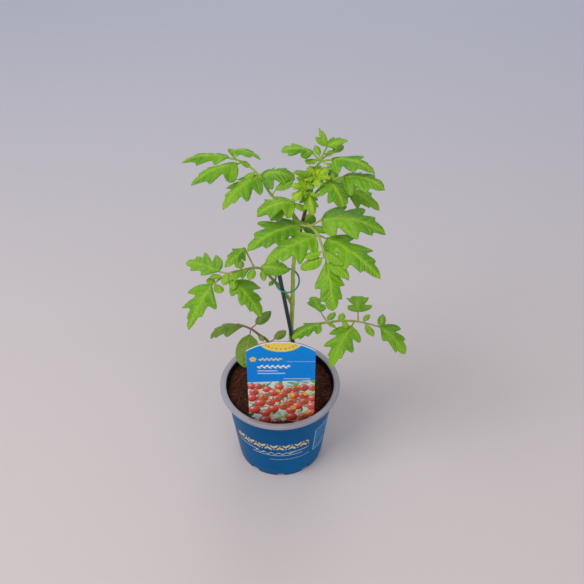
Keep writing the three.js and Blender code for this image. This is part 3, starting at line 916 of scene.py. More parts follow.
@dataclass(frozen=True)
class Leaflet:
    """One leaflet, its angles in degrees and its sizes in millimetres.

    A place is a share of the rib, and a reach is how far the blade goes from there along the side
    veins, which lean forward. Places from -FAN to 0 are the rows that fan out from the rib's foot.
    """

    at: float
    heading: float
    dip: float
    length: float
    left: tuple[Lobe, ...] = ()
    right: tuple[Lobe, ...] = ()
    width: float = 0.0
    stem: float = 0.0
    roll: float = 0.0
    arch: float = 0.08
    fold: float = 0.12
    base: Optional[Point] = None
    grown: bool = False

    FAN = 0.1
    FAN_TURN = 450.0
    BASE_REACH = 1.0
    BASAL_TO = 0.12
    FULL_SIZE = 18.0
    LAST_ROW = 0.985
    VEIN_START = 30.0
    VEIN_END = 50.0
    THICKNESS = 0.3
    SWELL = 1.04
    FINEST = 0.008
    TOOTH_DEPTH = 0.012
    TOOTH_PACE = 58
    COLUMNS = (0, 0.05, 0.13, 0.24, 0.38, 0.53, 0.68, 0.82, 0.93, 1.0)
    OVAL_COLUMNS = (0, 0.13, 0.38, 0.68, 0.93, 1.0)
    OVAL_EDGE = ((-0.03, 0.5), (0.08, 0.88), (0.3, 1.04), (0.5, 0.92), (0.7, 0.64), (0.9, 0.24))
    OVAL_VEINS = (0.06, 0.24, 0.42, 0.6, 0.78)
    BASAL_RISE = ((-0.055, 0.32), (-0.022, 0.7), (-0.004, 0.93))
    TIP_EDGE = ((0.06, 0.9), (0.13, 0.72), (0.23, 0.6), (0.4, 0.58), (0.62, 0.45), (0.84, 0.2))
    TIP_VEINS = (0.24, 0.45, 0.64, 0.81)
    NOTCH = (0.63, 0.36, 0.75, 0.35)
    BASAL_NOTCH = (0.44, 0.42, 0.9, 0.5)

    def axes(self) -> tuple[Vector, Vector, Vector]:
        """The along, left and normal directions.

        Returns:
            Three unit directions.
        """
        turn, fall = math.radians(self.heading), math.radians(self.dip)
        along = Vector((math.cos(turn) * math.cos(fall), math.sin(turn) * math.cos(fall), -math.sin(fall)))
        left = Vector((-math.sin(turn), math.cos(turn), 0))
        left.rotate(Quaternion(along, math.radians(self.roll)))
        return along, left, along.cross(left)

    def corners(self, lobes: tuple[Lobe, ...]) -> list[Lobe]:
        """One side's corners, from the leaflet's foot to its tip.

        Args:
            lobes: The side's lobes.

        Returns:
            The place and the reach of each corner.
        """
        found = [(-self.FAN, self.BASE_REACH)]
        if self.width:
            reach = self.width / 2 / math.cos(math.radians(self.VEIN_START))
            return found + [(place, share * reach) for place, share in self.OVAL_EDGE]
        place, reach = lobes[0]
        if place < self.BASAL_TO:
            found += [(step, share * reach) for step, share in self.BASAL_RISE]
        else:
            found += [(0.0, 1.3), (0.4 * place, 0.5 * reach), (0.75 * place, 0.85 * reach)]
        found.append((place, reach))
        for next_place, next_reach in lobes[1:]:
            basal = place < self.BASAL_TO and self.length > self.FULL_SIZE
            cut, dip, shoulder, flank = self.BASAL_NOTCH if basal else self.NOTCH
            notch_place = place + dip * (next_place - place)
            notch = cut * min(reach, 1.5 * next_reach)
            gap, rise = next_place - notch_place, next_reach - notch
            back = notch_place - place
            found += [
                (place + 0.34 * back, shoulder * reach + (1 - shoulder) * notch),
                (place + 0.64 * back, flank * reach + (1 - flank) * notch),
                (notch_place, notch),
                (notch_place + 0.3 * gap, notch + 0.46 * rise),
                (notch_place + 0.64 * gap, notch + 0.84 * rise),
                (next_place, next_reach),
            ]
            place, reach = next_place, next_reach
        return found + [(place + step * (1 - place), share * reach) for step, share in self.TIP_EDGE]

    def lean(self, places: Array) -> Array:
        """How far a side vein leans forward at each place, in radians; in the fan it leans back."""
        ahead = (self.VEIN_END - self.VEIN_START) * np.maximum(places, 0)
        return np.radians(self.VEIN_START + ahead + self.FAN_TURN * np.minimum(places, 0))

    def edge(self, lobes: tuple[Lobe, ...]) -> Edge:
        """One side's edge with its corners rounded off.

        Args:
            lobes: The side's lobes.

        Returns:
            The places along the rib, rising, and the reach at each of them.
        """
        knots = np.array(self.corners(lobes) + [(1.0, 0.0)])
        knots[1:-1, 1] *= self.SWELL
        lean = self.lean(knots[:, 0])
        starts = np.maximum(knots[:, 0], 0) * self.length
        line = np.column_stack([starts + knots[:, 1] * np.sin(lean), knots[:, 1] * np.cos(lean)])
        for _ in range(3):
            near, far = line[:-1], line[1:]
            pairs = np.stack([near + 0.25 * (far - near), far - 0.25 * (far - near)], axis=1).reshape(-1, 2)
            line = np.vstack([line[:1], pairs, line[-1:]])
        low, high = np.zeros(len(line)), np.ones(len(line))
        for _ in range(26):
            middle = (low + high) / 2
            short = middle * self.length + line[:, 1] * np.tan(self.lean(middle)) < line[:, 0]
            low, high = np.where(short, middle, low), np.where(short, high, middle)
        places = (low + high) / 2
        reach = line[:, 1] / np.cos(self.lean(places))
        turned = np.degrees(np.arctan2(line[:, 0], line[:, 1])) - self.VEIN_START
        behind = turned < 0
        places[behind] = np.maximum(turned[behind] / self.FAN_TURN, -self.FAN)
        reach[behind] = np.hypot(line[behind, 0], line[behind, 1])
        order = np.argsort(places)
        return places[order], reach[order]

    def veins(self, lobes: tuple[Lobe, ...]) -> Array:
        """Where one side's veins leave the rib: one for each lobe, and more towards the tip.

        Args:
            lobes: The side's lobes.

        Returns:
            Shares of the length.
        """
        if self.width:
            return np.array(self.OVAL_VEINS)
        last = lobes[-1][0]
        ahead = [last + share * (1 - last) for share in self.TIP_VEINS]
        return np.array([max(place, 0.02) for place, _ in lobes] + ahead)

    def places(self, halves: Sequence[Half]) -> Array:
        """The places that get a row of vertices.

        Args:
            halves: The edge and the veins of each side.

        Returns:
            Even steps, each vein, each middle between two veins and the edge's corners, in order.
        """
        samples = [np.linspace(-self.FAN, self.LAST_ROW, 24 if self.width else 46)]
        for edge, veins in halves:
            samples += [veins, (veins[1:] + veins[:-1]) / 2]
            if not self.width:
                samples.append(edge[0])
        inside = np.clip(np.concatenate(samples), -self.FAN, self.LAST_ROW)
        return np.unique(np.append(np.round(inside / self.FINEST) * self.FINEST, 0.0))

    def half(self, side: int, places: Array, edge: Edge, veins: Array, waves: Waves) -> list[tuple]:
        """One half of the blade's upper face.

        Args:
            side: 1 on the left and -1 on the right.
            places: The places that get a row.
            edge: The half's edge.
            veins: Where its side veins leave the rib.
            waves: How the blade waves.

        Returns:
            For each column, from the rib out: how far ahead, how far aside and how high its points
            are, and how far from the rib, from a side vein and from the edge.
        """
        middles = (veins[1:] + veins[:-1]) / 2
        lean = self.lean(places)
        starts = np.maximum(places, 0) * self.length
        reach = np.interp(places, *edge)
        if not self.width:
            inner = smoothstep(places, 0.02, 0.12) * fade(places, 0.85, 0.95)
            teeth = inner * np.sin(places * self.TOOTH_PACE + waves.teeth + side)
            reach = reach * (1 + self.TOOTH_DEPTH * teeth)
        gap, minor_gap = (np.abs(places[:, None] - group[None, :]).min(axis=1) for group in (veins, middles))
        spacing = np.interp(places, middles, np.diff(veins))
        puff = np.sin(np.pi * np.clip(gap / spacing, 0, 0.5)) - 0.3 * bump(minor_gap, 0.12 * spacing)
        swell = np.minimum(1.6, 0.23 * spacing * self.length)
        wave = np.sin(2 * np.pi * waves.count * places + waves.start + 1.3 * side)
        side_gap = np.minimum(gap, minor_gap + 0.3 / self.length) * self.length * np.cos(lean)
        along_rib = np.clip(places, 0, 1)
        half = []
        for column in self.OVAL_COLUMNS if self.width else self.COLUMNS:
            far = column * reach
            aside = side * far * np.cos(lean)
            lift = 4 * self.arch * self.length * along_rib * (1 - along_rib) - waves.fold * far
            lift += swell * puff * math.sin(math.pi * min(column, 0.999)) ** 0.7
            lift += 0.07 * np.maximum(reach - 2, 0) * wave * column**2
            lift += 0.3 * (1 - bump(column, 0.1)) * np.exp(-far / 3)
            to_rib = np.abs(aside) + 0.12 * places
            half.append((starts + far * np.sin(lean), aside, lift, to_rib, side_gap, (1 - column) * reach))
        return half

    @staticmethod
    def face_grid(rows: int, across: int, foot: dict[int, int]) -> list[Face]:
        """The faces of a grid that closes to a tip.

        Args:
            rows: Its rows, from the leaflet's foot to near its tip.
            across: The vertices in a row.
            foot: The rib's vertices in the fan, and the one that each stands for.

        Returns:
            Its faces. The tip's vertex follows the last row.
        """
        faces = []
        for row in range(rows - 1):
            for a in range(row * across, row * across + across - 1):
                corners = (foot.get(corner, corner) for corner in (a, a + 1, a + 1 + across, a + across))
                faces.append(tuple(dict.fromkeys(corners)))
        last = (rows - 1) * across
        return faces + [(last + step, last + step + 1, rows * across) for step in range(across - 1)]

    @staticmethod
    def walls(rows: int, across: int, foot: dict[int, int], flipped: bool) -> list[Face]:
        """The faces that join the upper grid's edge to the lower one's.

        Args:
            rows: The rows of each grid.
            across: The vertices in a row.
            foot: As for face_grid.
            flipped: Whether the grid's faces were turned round.

        Returns:
            The faces, for a lower grid that follows the upper one.
        """
        under = rows * across + 1
        rim = [row * across for row in range(rows)] + [rows * across]
        rim += [row * across + across - 1 for row in range(rows - 1, -1, -1)]
        rim += [foot.get(step, step) for step in range(across - 2, 0, -1)]
        walls = [(b, a, a + under, b + under) for a, b in zip(rim, rim[1:] + rim[:1])]
        return walls if flipped else [wall[::-1] for wall in walls]

    def blade(self, base: Vector, seed: int) -> tuple[Array, list[Face], Array]:
        """The blade as a closed thin shell with its veins in relief.

        Args:
            base: Where the rib leaves the leaflet's stalk.
            seed: Sets how this blade waves.

        Returns:
            Its vertices, faces and vertex marks.
        """
        draw = random.Random(seed)
        axes = np.array(self.axes())
        halves = [(self.edge(lobes), self.veins(lobes)) for lobes in (self.left, self.right)]
        places = self.places(halves)
        waves = Waves(
            draw.uniform(1.6, 2.8), draw.uniform(0, ANY_TURN), draw.uniform(0, ANY_TURN),
            self.fold + draw.uniform(0, 0.08),
        )
        left, right = (self.half(side, places, *half, waves) for side, half in zip((1, -1), halves))
        table = np.array(left[:0:-1] + right).transpose(2, 0, 1)
        rows, across = table.shape[:2]
        flat = np.vstack([table.reshape(-1, 6), [self.length, 0, 0, 0.1, 3, 0]])
        top = np.array(base) + flat[:, :3] @ axes
        fan, middle = int(np.sum(places < 0)), across // 2
        foot = {row * across + middle: fan * across + middle for row in range(fan)}
        faces = self.face_grid(rows, across, foot)
        normals = np.zeros_like(top)
        for face in faces:
            crossed = np.cross(top[face[1]] - top[face[0]], top[face[2]] - top[face[1]])
            for corner in face:
                normals[corner] += crossed
        flipped = (normals @ axes[2]).sum() < 0
        if flipped:
            faces = [face[::-1] for face in faces]
            normals = -normals
        normals /= np.maximum(np.linalg.norm(normals, axis=1), 1e-9)[:, None]
        ahead = np.append(np.repeat(places, across), 1.0)
        rib_depth = (0.75 - 0.6 * ahead) * bump(flat[:, 3], 0.55)
        vein_depth = 0.22 * bump(flat[:, 4], 0.45) * (1 - ahead)
        thick = self.THICKNESS * (0.45 + 0.55 * smoothstep(flat[:, 5], 0, 0.8)) + rib_depth + vein_depth
        shell = np.vstack([top, top - normals * thick[:, None]])
        below = [tuple(corner + len(top) for corner in face[::-1]) for face in faces]
        faces = faces + below + self.walls(rows, across, foot, flipped)
        marks = np.column_stack([np.tile(flat[:, 3:], (2, 1)), np.repeat([0, 1], len(top))])
        used = sorted({corner for face in faces for corner in face})
        number = {old: new for new, old in enumerate(used)}
        return shell[used], [tuple(number[corner] for corner in face) for face in faces], marks[used]


def ovals(*rows: tuple[float, ...]) -> tuple[Leaflet, ...]:
    """Small oval leaflets from rows of at, heading, dip, length, width and stem."""
    return tuple(
        Leaflet(at, heading, dip, length, width=width, stem=stem)
        for at, heading, dip, length, width, stem in rows
    )


def rosette(*rows: tuple[float, ...]) -> tuple[Leaflet, ...]:
    """Young leaflets from rows of at, heading, dip, length, two reaches a side, and the base."""
    return tuple(
        Leaflet(
            at, heading, dip, length, ((0.1, a), (0.46, b)), ((0.1, c), (0.46, d)), arch=0.26, base=(x, y, z)
        )
        for at, heading, dip, length, a, b, c, d, x, y, z in rows
    )


@dataclass
class CompoundLeaf:
    """A whole leaf: its stalk, its leaflets' own stalks and their blades."""

    name: str
    age: LeafAge
    tone: StalkTone
    radii: tuple[float, float]
    stalk: tuple[Point, ...]
    leaflets: tuple[Leaflet, ...]
    hairs: float = 1.3

    def build(self) -> Piece:
        """Makes the leaf's mesh.

        Returns:
            The finished piece.
        """
        parts = MeshParts()
        shares = np.linspace(0, 1, (len(self.stalk) - 1) * 8 + 1)
        radii = between(self.radii, shares) * (1 + 0.35 * np.exp(-shares * 30))
        parts.tube(stalk_curve(self.stalk, len(shares)), radii, 12, 1, 0.12)
        for index, leaflet in enumerate(self.leaflets):
            self.add_leaflet(parts, leaflet, index)
        self.add_down(parts)
        return parts.piece(self.name, marked=True)

    def add_down(self, parts: MeshParts) -> None:
        """Adds the short hairs of the stalk, a count of them for each millimetre.

        Args:
            parts: What the leaf's mesh is gathered in.
        """
        draw = random.Random(len(self.name))
        line = stalk_curve(self.stalk, 121)
        span = float(np.linalg.norm(np.diff(line, axis=0), axis=1).sum())
        for _ in range(int(span * self.hairs)):
            add_hair(parts, line, draw.uniform(0.04, 0.98), self.radii, 1, draw)

    def add_leaflet(self, parts: MeshParts, leaflet: Leaflet, index: int) -> None:
        """Adds one leaflet with its stalk, which runs on under the blade as its rib.

        Args:
            parts: What the leaf's mesh is gathered in.
            leaflet: The leaflet.
            index: Its place in the leaf's list.
        """
        root = point_on_stalk(self.stalk, leaflet.at)
        along, _, normal = leaflet.axes()
        base = Vector(leaflet.base) if leaflet.base else root + along * leaflet.stem
        vertices, faces, marks = leaflet.blade(base, sum(map(ord, self.name)) + 31 * index)
        parts.add(vertices, faces, 2 if leaflet.grown else 0, marks)
        path = [root] if (root - base).length < 0.5 else [root, base - normal * 0.25]
        for share in (0.04, 0.1, 0.17):
            lift = 4 * leaflet.arch * leaflet.length * share * (1 - share) - 0.42
            path.append(base + along * (share * leaflet.length) + normal * lift)
        line = stalk_curve(path, 4 * len(path) + 1)
        radii = np.interp(np.linspace(0, 1, len(line)), [0, 0.5, 1], [0.85, 0.62, 0.26])
        parts.tube(line, radii * (0.72 if leaflet.width else 1.0), 8, 1, 0.08)

    def dress(self, leaf: Piece, wardrobe: dict[Enum, Material]) -> None:
        """Gives the leaf its skin and its stalks their colour."""
        grown = [wardrobe[LeafAge.MATURE]] if any(leaflet.grown for leaflet in self.leaflets) else []
        wear(leaf, wardrobe[self.age], wardrobe[self.tone], *grown)


LEAVES = (
    CompoundLeaf("leaf_low_left", LeafAge.OLD, StalkTone.BROWN, (1.7, 0.9), (
        (10, 0, 112), (-10, 0, 149), (-19, 0, 159), (-27, 0, 167), (-39, -2, 175),
    ), (
        Leaflet(3.6, -172, 22, 34, ((0.3, 11), (0.62, 9)), ((0.34, 12), (0.62, 9)), arch=0.2, fold=0.24),
        Leaflet(3, 53, 0, 22, width=11, roll=10, stem=9),
        Leaflet(1, 45, 0, 15, width=9, roll=15, stem=8),
        Leaflet(3, -102, 44, 31, width=22.5, stem=6, arch=0.12),
        *ovals((2, -60, 20, 8, 5, 0)),
    )),
    CompoundLeaf("leaf_low_right", LeafAge.MATURE, StalkTone.OLIVE, (1.5, 0.8), (
        (11, 0, 160), (24, -1, 171), (40, -2, 176), (57, -2, 179), (74, -2, 178), (95, -4, 173),
    ), (
        Leaflet(2, -147, 5, 32, ((0.1, 10), (0.4, 10), (0.66, 8)), ((0.16, 12), (0.46, 10)), stem=2),
        Leaflet(2.3, 111, 0, 23, ((0.4, 10),), ((0.1, 9), (0.5, 9)), stem=16, arch=0.1),
        Leaflet(4, 88, 0, 22, ((0.1, 11), (0.46, 14)), ((0.08, 16), (0.5, 14)), stem=14, arch=0.1),
        Leaflet(
            3.8, -122, 30, 44, ((0.04, 16), (0.3, 16), (0.6, 9)), ((0.08, 19), (0.36, 19), (0.66, 9)), stem=6,
            arch=0.12,
        ),
        Leaflet(5, -44, 25, 34, ((0.06, 19), (0.44, 13)), ((0.16, 10), (0.6, 10)), roll=8, arch=0.1),
        *ovals(
            (5, 78, 0, 16, 8, 2), (2.2, 60, 8, 14, 7, 6), (2.3, -30, 20, 10, 5, 0), (3, 72, 0, 11, 7, 0),
            (3.2, -70, 20, 9, 6, 0), (4.2, 56, 0, 10, 6, 3), (4.3, -60, 20, 13, 8, 3),
        ),
    )),
    CompoundLeaf("leaf_mid_left", LeafAge.MATURE, StalkTone.OLIVE, (1.6, 0.7), (
        (12, 0, 199), (3.5, 1, 214.5), (-4.5, 0.5, 226), (-14, -6, 243.5), (-21, -9, 248), (-32, -10, 246),
        (-44, -11, 243), (-59, -14, 232),
    ), (
        Leaflet(7, -126, 40, 44, ((0.16, 17), (0.5, 9)), ((0.04, 23), (0.36, 22), (0.66, 9))),
        Leaflet(6, 153, 5, 35, ((0.2, 11), (0.54, 10)), ((0.08, 22), (0.34, 25), (0.6, 13)), roll=-8, stem=9),
        Leaflet(6, -43, 35, 39, ((0.1, 23), (0.42, 15)), ((0.06, 12), (0.34, 12), (0.62, 8)), stem=9),
        Leaflet(
            4, -132, 14, 26, ((0.12, 10), (0.5, 8)), ((0.14, 9), (0.5, 7)), roll=-24, arch=0.16,
            base=(-29, 0, 262),
        ),
        Leaflet(4.2, -160, 20, 20, ((0.2, 8), (0.55, 7)), ((0.3, 7), (0.6, 6)), stem=3, arch=0.1),
        Leaflet(3, -14, 0, 25, width=14, roll=34, base=(-14, -11, 251)),
        *ovals(
            (7, 100, 4, 10, 8, 2), (6.8, -60, 12, 11, 9, 2), (6.3, 172, 8, 10, 8, 2), (6, -108, 25, 11, 8, 1),
            (5.7, -84, 34, 13, 8, 4), (5, 106, 0, 12, 9, 3), (4, -110, 22, 11, 8, 2), (3, -80, 32, 10, 6, 1),
            (2, -125, 20, 7, 5, 0),
        ),
    )),
    CompoundLeaf("leaf_mid_front", LeafAge.MATURE, StalkTone.GREEN, (1.5, 0.8), (
        (20, 0, 285), (24, -10, 295), (29, -27, 303), (33, -38, 304), (36, -47, 300), (38.5, -55, 295),
    ), (
        Leaflet(5, -80, 44, 39, ((0.28, 14.5), (0.58, 11.5)), ((0.28, 14.5), (0.58, 12)), stem=4, arch=0.12),
        Leaflet(
            1.6, -152, 13, 48, ((0.04, 15), (0.3, 17), (0.56, 11)), ((0.02, 26), (0.26, 25), (0.58, 12)),
            roll=-14, arch=0.14, base=(16.9, -20, 301.5),
        ),
        Leaflet(
            1.6, -7, 12, 53.5, ((0.02, 31), (0.34, 25), (0.6, 14)), ((0.06, 16), (0.34, 20), (0.62, 12)),
            roll=12, arch=0.16, base=(36.4, -22, 308.4),
        ),
        Leaflet(
            2.9, -150, 13, 48, ((0.02, 17), (0.28, 19), (0.58, 10)), ((0.04, 20), (0.36, 15)), roll=-10,
            arch=0.1, base=(30.5, -36, 301.3),
        ),
        Leaflet(
            2.9, -40, 15, 55, ((0.02, 22), (0.36, 22), (0.62, 12)), ((0.08, 16), (0.34, 19), (0.6, 11)),
            roll=8, arch=0.1, base=(40.7, -36, 299.1),
        ),
        *ovals(
            (4.4, -160, 13, 13, 10, 3), (4.9, -150, 13, 19, 13, 4), (4.4, -42, 14, 18, 11, 3),
            (4.9, -50, 15, 23, 12, 6), (1.5, -20, 10, 15, 10, 2),
        ),
        Leaflet(0.2, 53, -20, 14, width=13, stem=1, fold=0.3),
        *ovals((0.2, -22, 4, 17, 13, 1)),
    )),
    CompoundLeaf("leaf_high_left", LeafAge.MATURE, StalkTone.FRESH, (1.4, 0.7), (
        (20, 0, 286), (9, -1, 305), (-5, 5, 314), (-16, 15, 328), (-30, 25, 334), (-42, 30, 335),
    ), (
        Leaflet(5, 176, 10, 40, ((0.12, 10), (0.42, 13)), ((0.08, 12), (0.34, 12), (0.6, 8)), arch=0.12),
        Leaflet(
            4, -157, 15, 42, ((0.08, 18), (0.44, 15)), ((0.08, 12), (0.36, 12), (0.62, 8)), stem=5, arch=0.12,
        ),
        Leaflet(
            4.4, -14, 10, 28, ((0.1, 8), (0.5, 8)), ((0.12, 11), (0.5, 10)), roll=-12, arch=0.14,
            base=(-41, 32, 340.5),
        ),
        Leaflet(
            3, -137, 24, 41, ((0.04, 18), (0.34, 17), (0.62, 9)), ((0.04, 17), (0.32, 17), (0.6, 9)), stem=2,
            arch=0.12,
        ),
        Leaflet(
            3, -2, 8, 28, ((0.04, 15), (0.4, 13)), ((0.08, 14), (0.44, 13)), roll=14, stem=3, arch=0.2,
            fold=0.2,
        ),
        *ovals((3.2, -140, 20, 9, 8, 2)),
        Leaflet(2, 26, -14, 16, width=12, base=(-1, 2.5, 321.5)),
        *ovals((3.5, 150, -20, 9, 7, 0)),
    )),
    CompoundLeaf("leaf_young_front", LeafAge.FRESH, StalkTone.GREEN, (1.1, 0.8), (
        (17.6, -2, 272), (15, -8, 291), (13, -12, 303), (13.5, -13, 318),
    ), (
        Leaflet(3, -164, 14, 32, ((0.06, 14), (0.44, 14)), ((0.04, 17), (0.36, 15)), roll=-8, arch=0.2),
        Leaflet(3, -164, 33, 24, ((0.14, 10), (0.5, 9)), ((0.1, 8), (0.5, 7)), roll=-8, arch=0.1),
        *ovals((3, -20, 20, 11, 9, 1), (1.8, -30, 15, 12, 9, 1)),
    )),
    CompoundLeaf("leaf_high_right", LeafAge.FRESH, StalkTone.FRESH, (1.2, 0.7), (
        (25, 0, 311), (38, -5, 331), (46, -8, 338), (54, -8, 340),
    ), (
        Leaflet(3, -16, 12, 34, ((0.06, 17), (0.4, 14)), ((0.02, 18), (0.36, 15)), roll=8, arch=0.16),
        Leaflet(
            1, -58, 32, 25, ((0.06, 14), (0.4, 14)), ((0.06, 14), (0.4, 14)), arch=0.2, base=(41, -8, 335.6),
        ),
        *ovals((2, 96, -10, 11, 9, 1)),
    )),
    CompoundLeaf("leaf_high_back", LeafAge.MATURE, StalkTone.GREEN, (1.1, 0.7), (
        (24.3, 0, 308), (38, 7, 316), (53, 14, 316),
    ), (
        Leaflet(
            2, -26, 20, 38, ((0.06, 14), (0.42, 13)), ((0.06, 14), (0.34, 15), (0.62, 9)), roll=8, arch=0.12,
        ),
        *ovals((2, -80, 40, 16, 9, 2), (1.4, 60, 8, 24, 13, 4)),
    )),
    CompoundLeaf("leaf_top", LeafAge.MATURE, StalkTone.FRESH, (1.2, 0.7), (
        (28.6, 0.1, 326.35), (32, 0, 344), (35, 0, 350), (37, 2, 355), (40, 4, 361),
    ), (
        Leaflet(4, 6, -12, 17, ((0.1, 9), (0.45, 6)), ((0.2, 6),), roll=25, arch=0.12),
        *ovals((4, 122, -38, 15, 6, 1), (4, 158, -28, 11, 8, 1)),
        Leaflet(
            2, 178, 0, 25, ((0.1, 10), (0.45, 12)), ((0.02, 11), (0.34, 13)), arch=0.14, base=(28, 5, 355),
        ),
        Leaflet(
            2, -20, 10, 36, ((0.02, 13), (0.34, 16), (0.62, 8)), ((0.04, 14), (0.36, 13)), roll=5, arch=0.16,
            base=(44.4, 0, 351.3),
        ),
        Leaflet(3, 60, -10, 11, width=9, base=(46.4, 5, 355)),
        Leaflet(2, -163, 5, 10, width=9, base=(32, 2, 349.7)),
        *ovals((2.2, 112, -25, 9, 6, 5), (2.2, 36, -20, 7, 6, 5), (2, -27, 12, 9, 8, 6)),
    )),
    CompoundLeaf("growing_tip", LeafAge.YOUNG, StalkTone.FRESH, (1.4, 1.0), (
        (27.6, -0.4, 322), (26, -5, 328), (26.6, -7.4, 334),
    ), (
        *rosette(
            (2, 24, -26, 12, 7, 7, 7, 6, 33, -5, 337), (2, 78, -34, 10, 6, 6, 7, 6, 32, -4, 337),
            (2, 136, -30, 11, 7, 6, 7, 7, 31, -5, 337), (2, -28, -10, 11, 7, 6, 7, 6, 33, -6, 337),
            (2, -88, 8, 10, 7, 6, 7, 6, 32, -7, 337), (2, -150, -4, 10, 6, 6, 6, 6, 31, -6, 337),
            (1.4, 112, -34, 13, 8, 7, 8, 7, 23, -8, 329), (1.4, 48, -26, 10, 6, 5, 6, 5, 24, -8, 329),
            (1.4, 176, -6, 11, 7, 6, 7, 6, 22, -9, 329), (1.4, -134, 22, 12, 7, 7, 8, 7, 22, -10, 328),
        ),
        Leaflet(
            0.6, -74, 46, 18, ((0.06, 9), (0.38, 8)), ((0.06, 9), (0.38, 8)), fold=0.3, arch=0.2,
            base=(25, -10, 325),
        ),
        Leaflet(0.6, -20, 12, 8, width=6, base=(27, -10, 326)),
        Leaflet(0.6, -150, 26, 12, width=7, base=(21, -7, 324), grown=True),
        Leaflet(0.6, 158, -20, 8, width=4, base=(19, -6, 319)),
        Leaflet(2, -164, -9, 15, width=10, base=(27, -5, 341.5), grown=True),
        Leaflet(2, 60, -16, 8, width=6, base=(42, -8, 338), grown=True),
    )),
)


# ---- stem, cane and ring


@dataclass
class MainStem:
    """The plant's one stem, swollen a little where the leaves leave it."""

    path: tuple[Point, ...] = (
        (9.2, 0, 56), (9.5, 0, 83), (11, 0, 154), (12.5, 0, 203), (13.8, 0, 250), (20.6, 0, 289),
        (28.4, 0, 326),
    )
    radii: tuple[float, float] = (2.6, 1.4)
    joints: tuple[float, ...] = (112, 160, 199, 272, 286, 309)
    joint_swell: float = 0.09
    joint_width: float = 3.2
    hairs: int = 420

    def build(self) -> Piece:
        """Makes the stem's mesh.

        Returns:
            The finished piece.
        """
        line = stalk_curve(self.path, 121)
        radii = between(self.radii, np.linspace(0, 1, len(line)))
        for joint in self.joints:
            radii = radii * (1 + self.joint_swell * bump(line[:, 2] - joint, self.joint_width))
        parts = MeshParts()
        parts.tube(line, radii, 20, 0, 0.06)
        return parts.piece("main_stem")

    def build_down(self) -> Piece:
        """Makes the stem's short pale hairs.

        Returns:
            The finished piece.
        """
        draw = random.Random(7)
        line = stalk_curve(self.path, 241)
        parts = MeshParts()
        for _ in range(self.hairs):
            add_hair(parts, line, draw.uniform(0.14, 0.99), self.radii, 0, draw)
        return parts.piece("stem_down")

    def dress(self, stem: Piece, down: Piece) -> None:
        """Gives the stem its green skin, brown near the top, and its hairs their pale one.

        Args:
            stem: The stem.
            down: Its hairs.
        """
        skin = StalkFinish("stem_green", (192, 214, 92), (160, 190, 72), (104, 84, 48), 258, 322, 0.25)
        wear(stem, skin.material())
        wear(down, StalkFinish("down_pale", (214, 222, 170), (196, 206, 150), (190, 196, 150)).material())


@dataclass
class Cane:
    """The thin straight cane that the ring holds the stem to."""

    radius: float = 1.9
    foot: Point = (33.4, -8.6, 22)
    top: Point = (-1.9, -4.3, 254)
    cuts: int = 24
    thinned: float = 0.03
    thinned_every: float = 17.0
    edge: float = 0.35

    def build(self) -> Piece:
        """Makes the cane, with its rounded ends and its slight unevenness.

        Returns:
            The finished piece.
        """
        foot, top = Vector(self.foot), Vector(self.top)
        length = (top - foot).length
        deselect()
        bpy.ops.mesh.primitive_cylinder_add(
            vertices=24, radius=self.radius * MM, depth=length * MM, location=(0, 0, length * MM / 2)
        )
        cane = newest("cane")
        settle(cane)
        with edit_mode():
            for height in np.linspace(0.04, 0.96, self.cuts):
                bpy.ops.mesh.select_all(action="SELECT")
                bpy.ops.mesh.bisect(plane_co=(0, 0, height * length * MM), plane_no=(0, 0, 1))
        for vertex in cane.data.vertices:
            thin = 1 - self.thinned * math.sin(vertex.co.z / MM / self.thinned_every) ** 2
            vertex.co.x *= thin
            vertex.co.y *= thin
        bevel = cane.modifiers.new("ends", "BEVEL")
        bevel.width, bevel.segments, bevel.limit_method = self.edge * MM, 3, "ANGLE"
        bevel.angle_limit = math.radians(50)
        finish_modifiers(cane)
        turn = Vector((0, 0, 1)).rotation_difference(top - foot)
        cane.data.transform(Matrix.Translation(foot * MM) @ turn.to_matrix().to_4x4())
        smooth(cane)
        return cane

    def dress(self, cane: Piece) -> None:
        """Gives the cane its coat."""
        wear(cane, CaneFinish().material())


@dataclass
class RingClip:
    """The plastic-covered wire ring, whose ends lie side by side."""

    radius: float = 10.7
    wire: float = 0.75
    centre: Point = (7.8, -2.3, 228)
    tilt: float = 54.0
    ends_at: float = 2.2
    ends_width: float = 0.16
    ends_swell: float = 0.28

    def build(self) -> Piece:
        """Makes the ring from a torus that is thickened where its ends lie.

        Returns:
            The finished piece.
        """
        deselect()
        bpy.ops.mesh.primitive_torus_add(
            major_radius=self.radius * MM, minor_radius=self.wire * MM, major_segments=96, minor_segments=14,
        )
        ring = newest("ring_clip")
        for vertex in ring.data.vertices:
            angle = math.atan2(vertex.co.y, vertex.co.x)
            swell = 1 + self.ends_swell * bump(angle - self.ends_at, self.ends_width)
            reach = self.radius * MM + (math.hypot(vertex.co.x, vertex.co.y) - self.radius * MM) * swell
            vertex.co = reach * math.cos(angle), reach * math.sin(angle), vertex.co.z * swell
        turn = Matrix.Rotation(math.radians(self.tilt), 4, "X")
        ring.data.transform(Matrix.Translation(Vector(self.centre) * MM) @ turn)
        smooth(ring, 60)
        return ring

    def dress(self, ring: Piece) -> None:
        """Gives the ring its green plastic."""
        wear(ring, PlasticFinish("ring_green", (64, 156, 134), (44, 130, 110), gloss=0.3).material())


# ---- pot


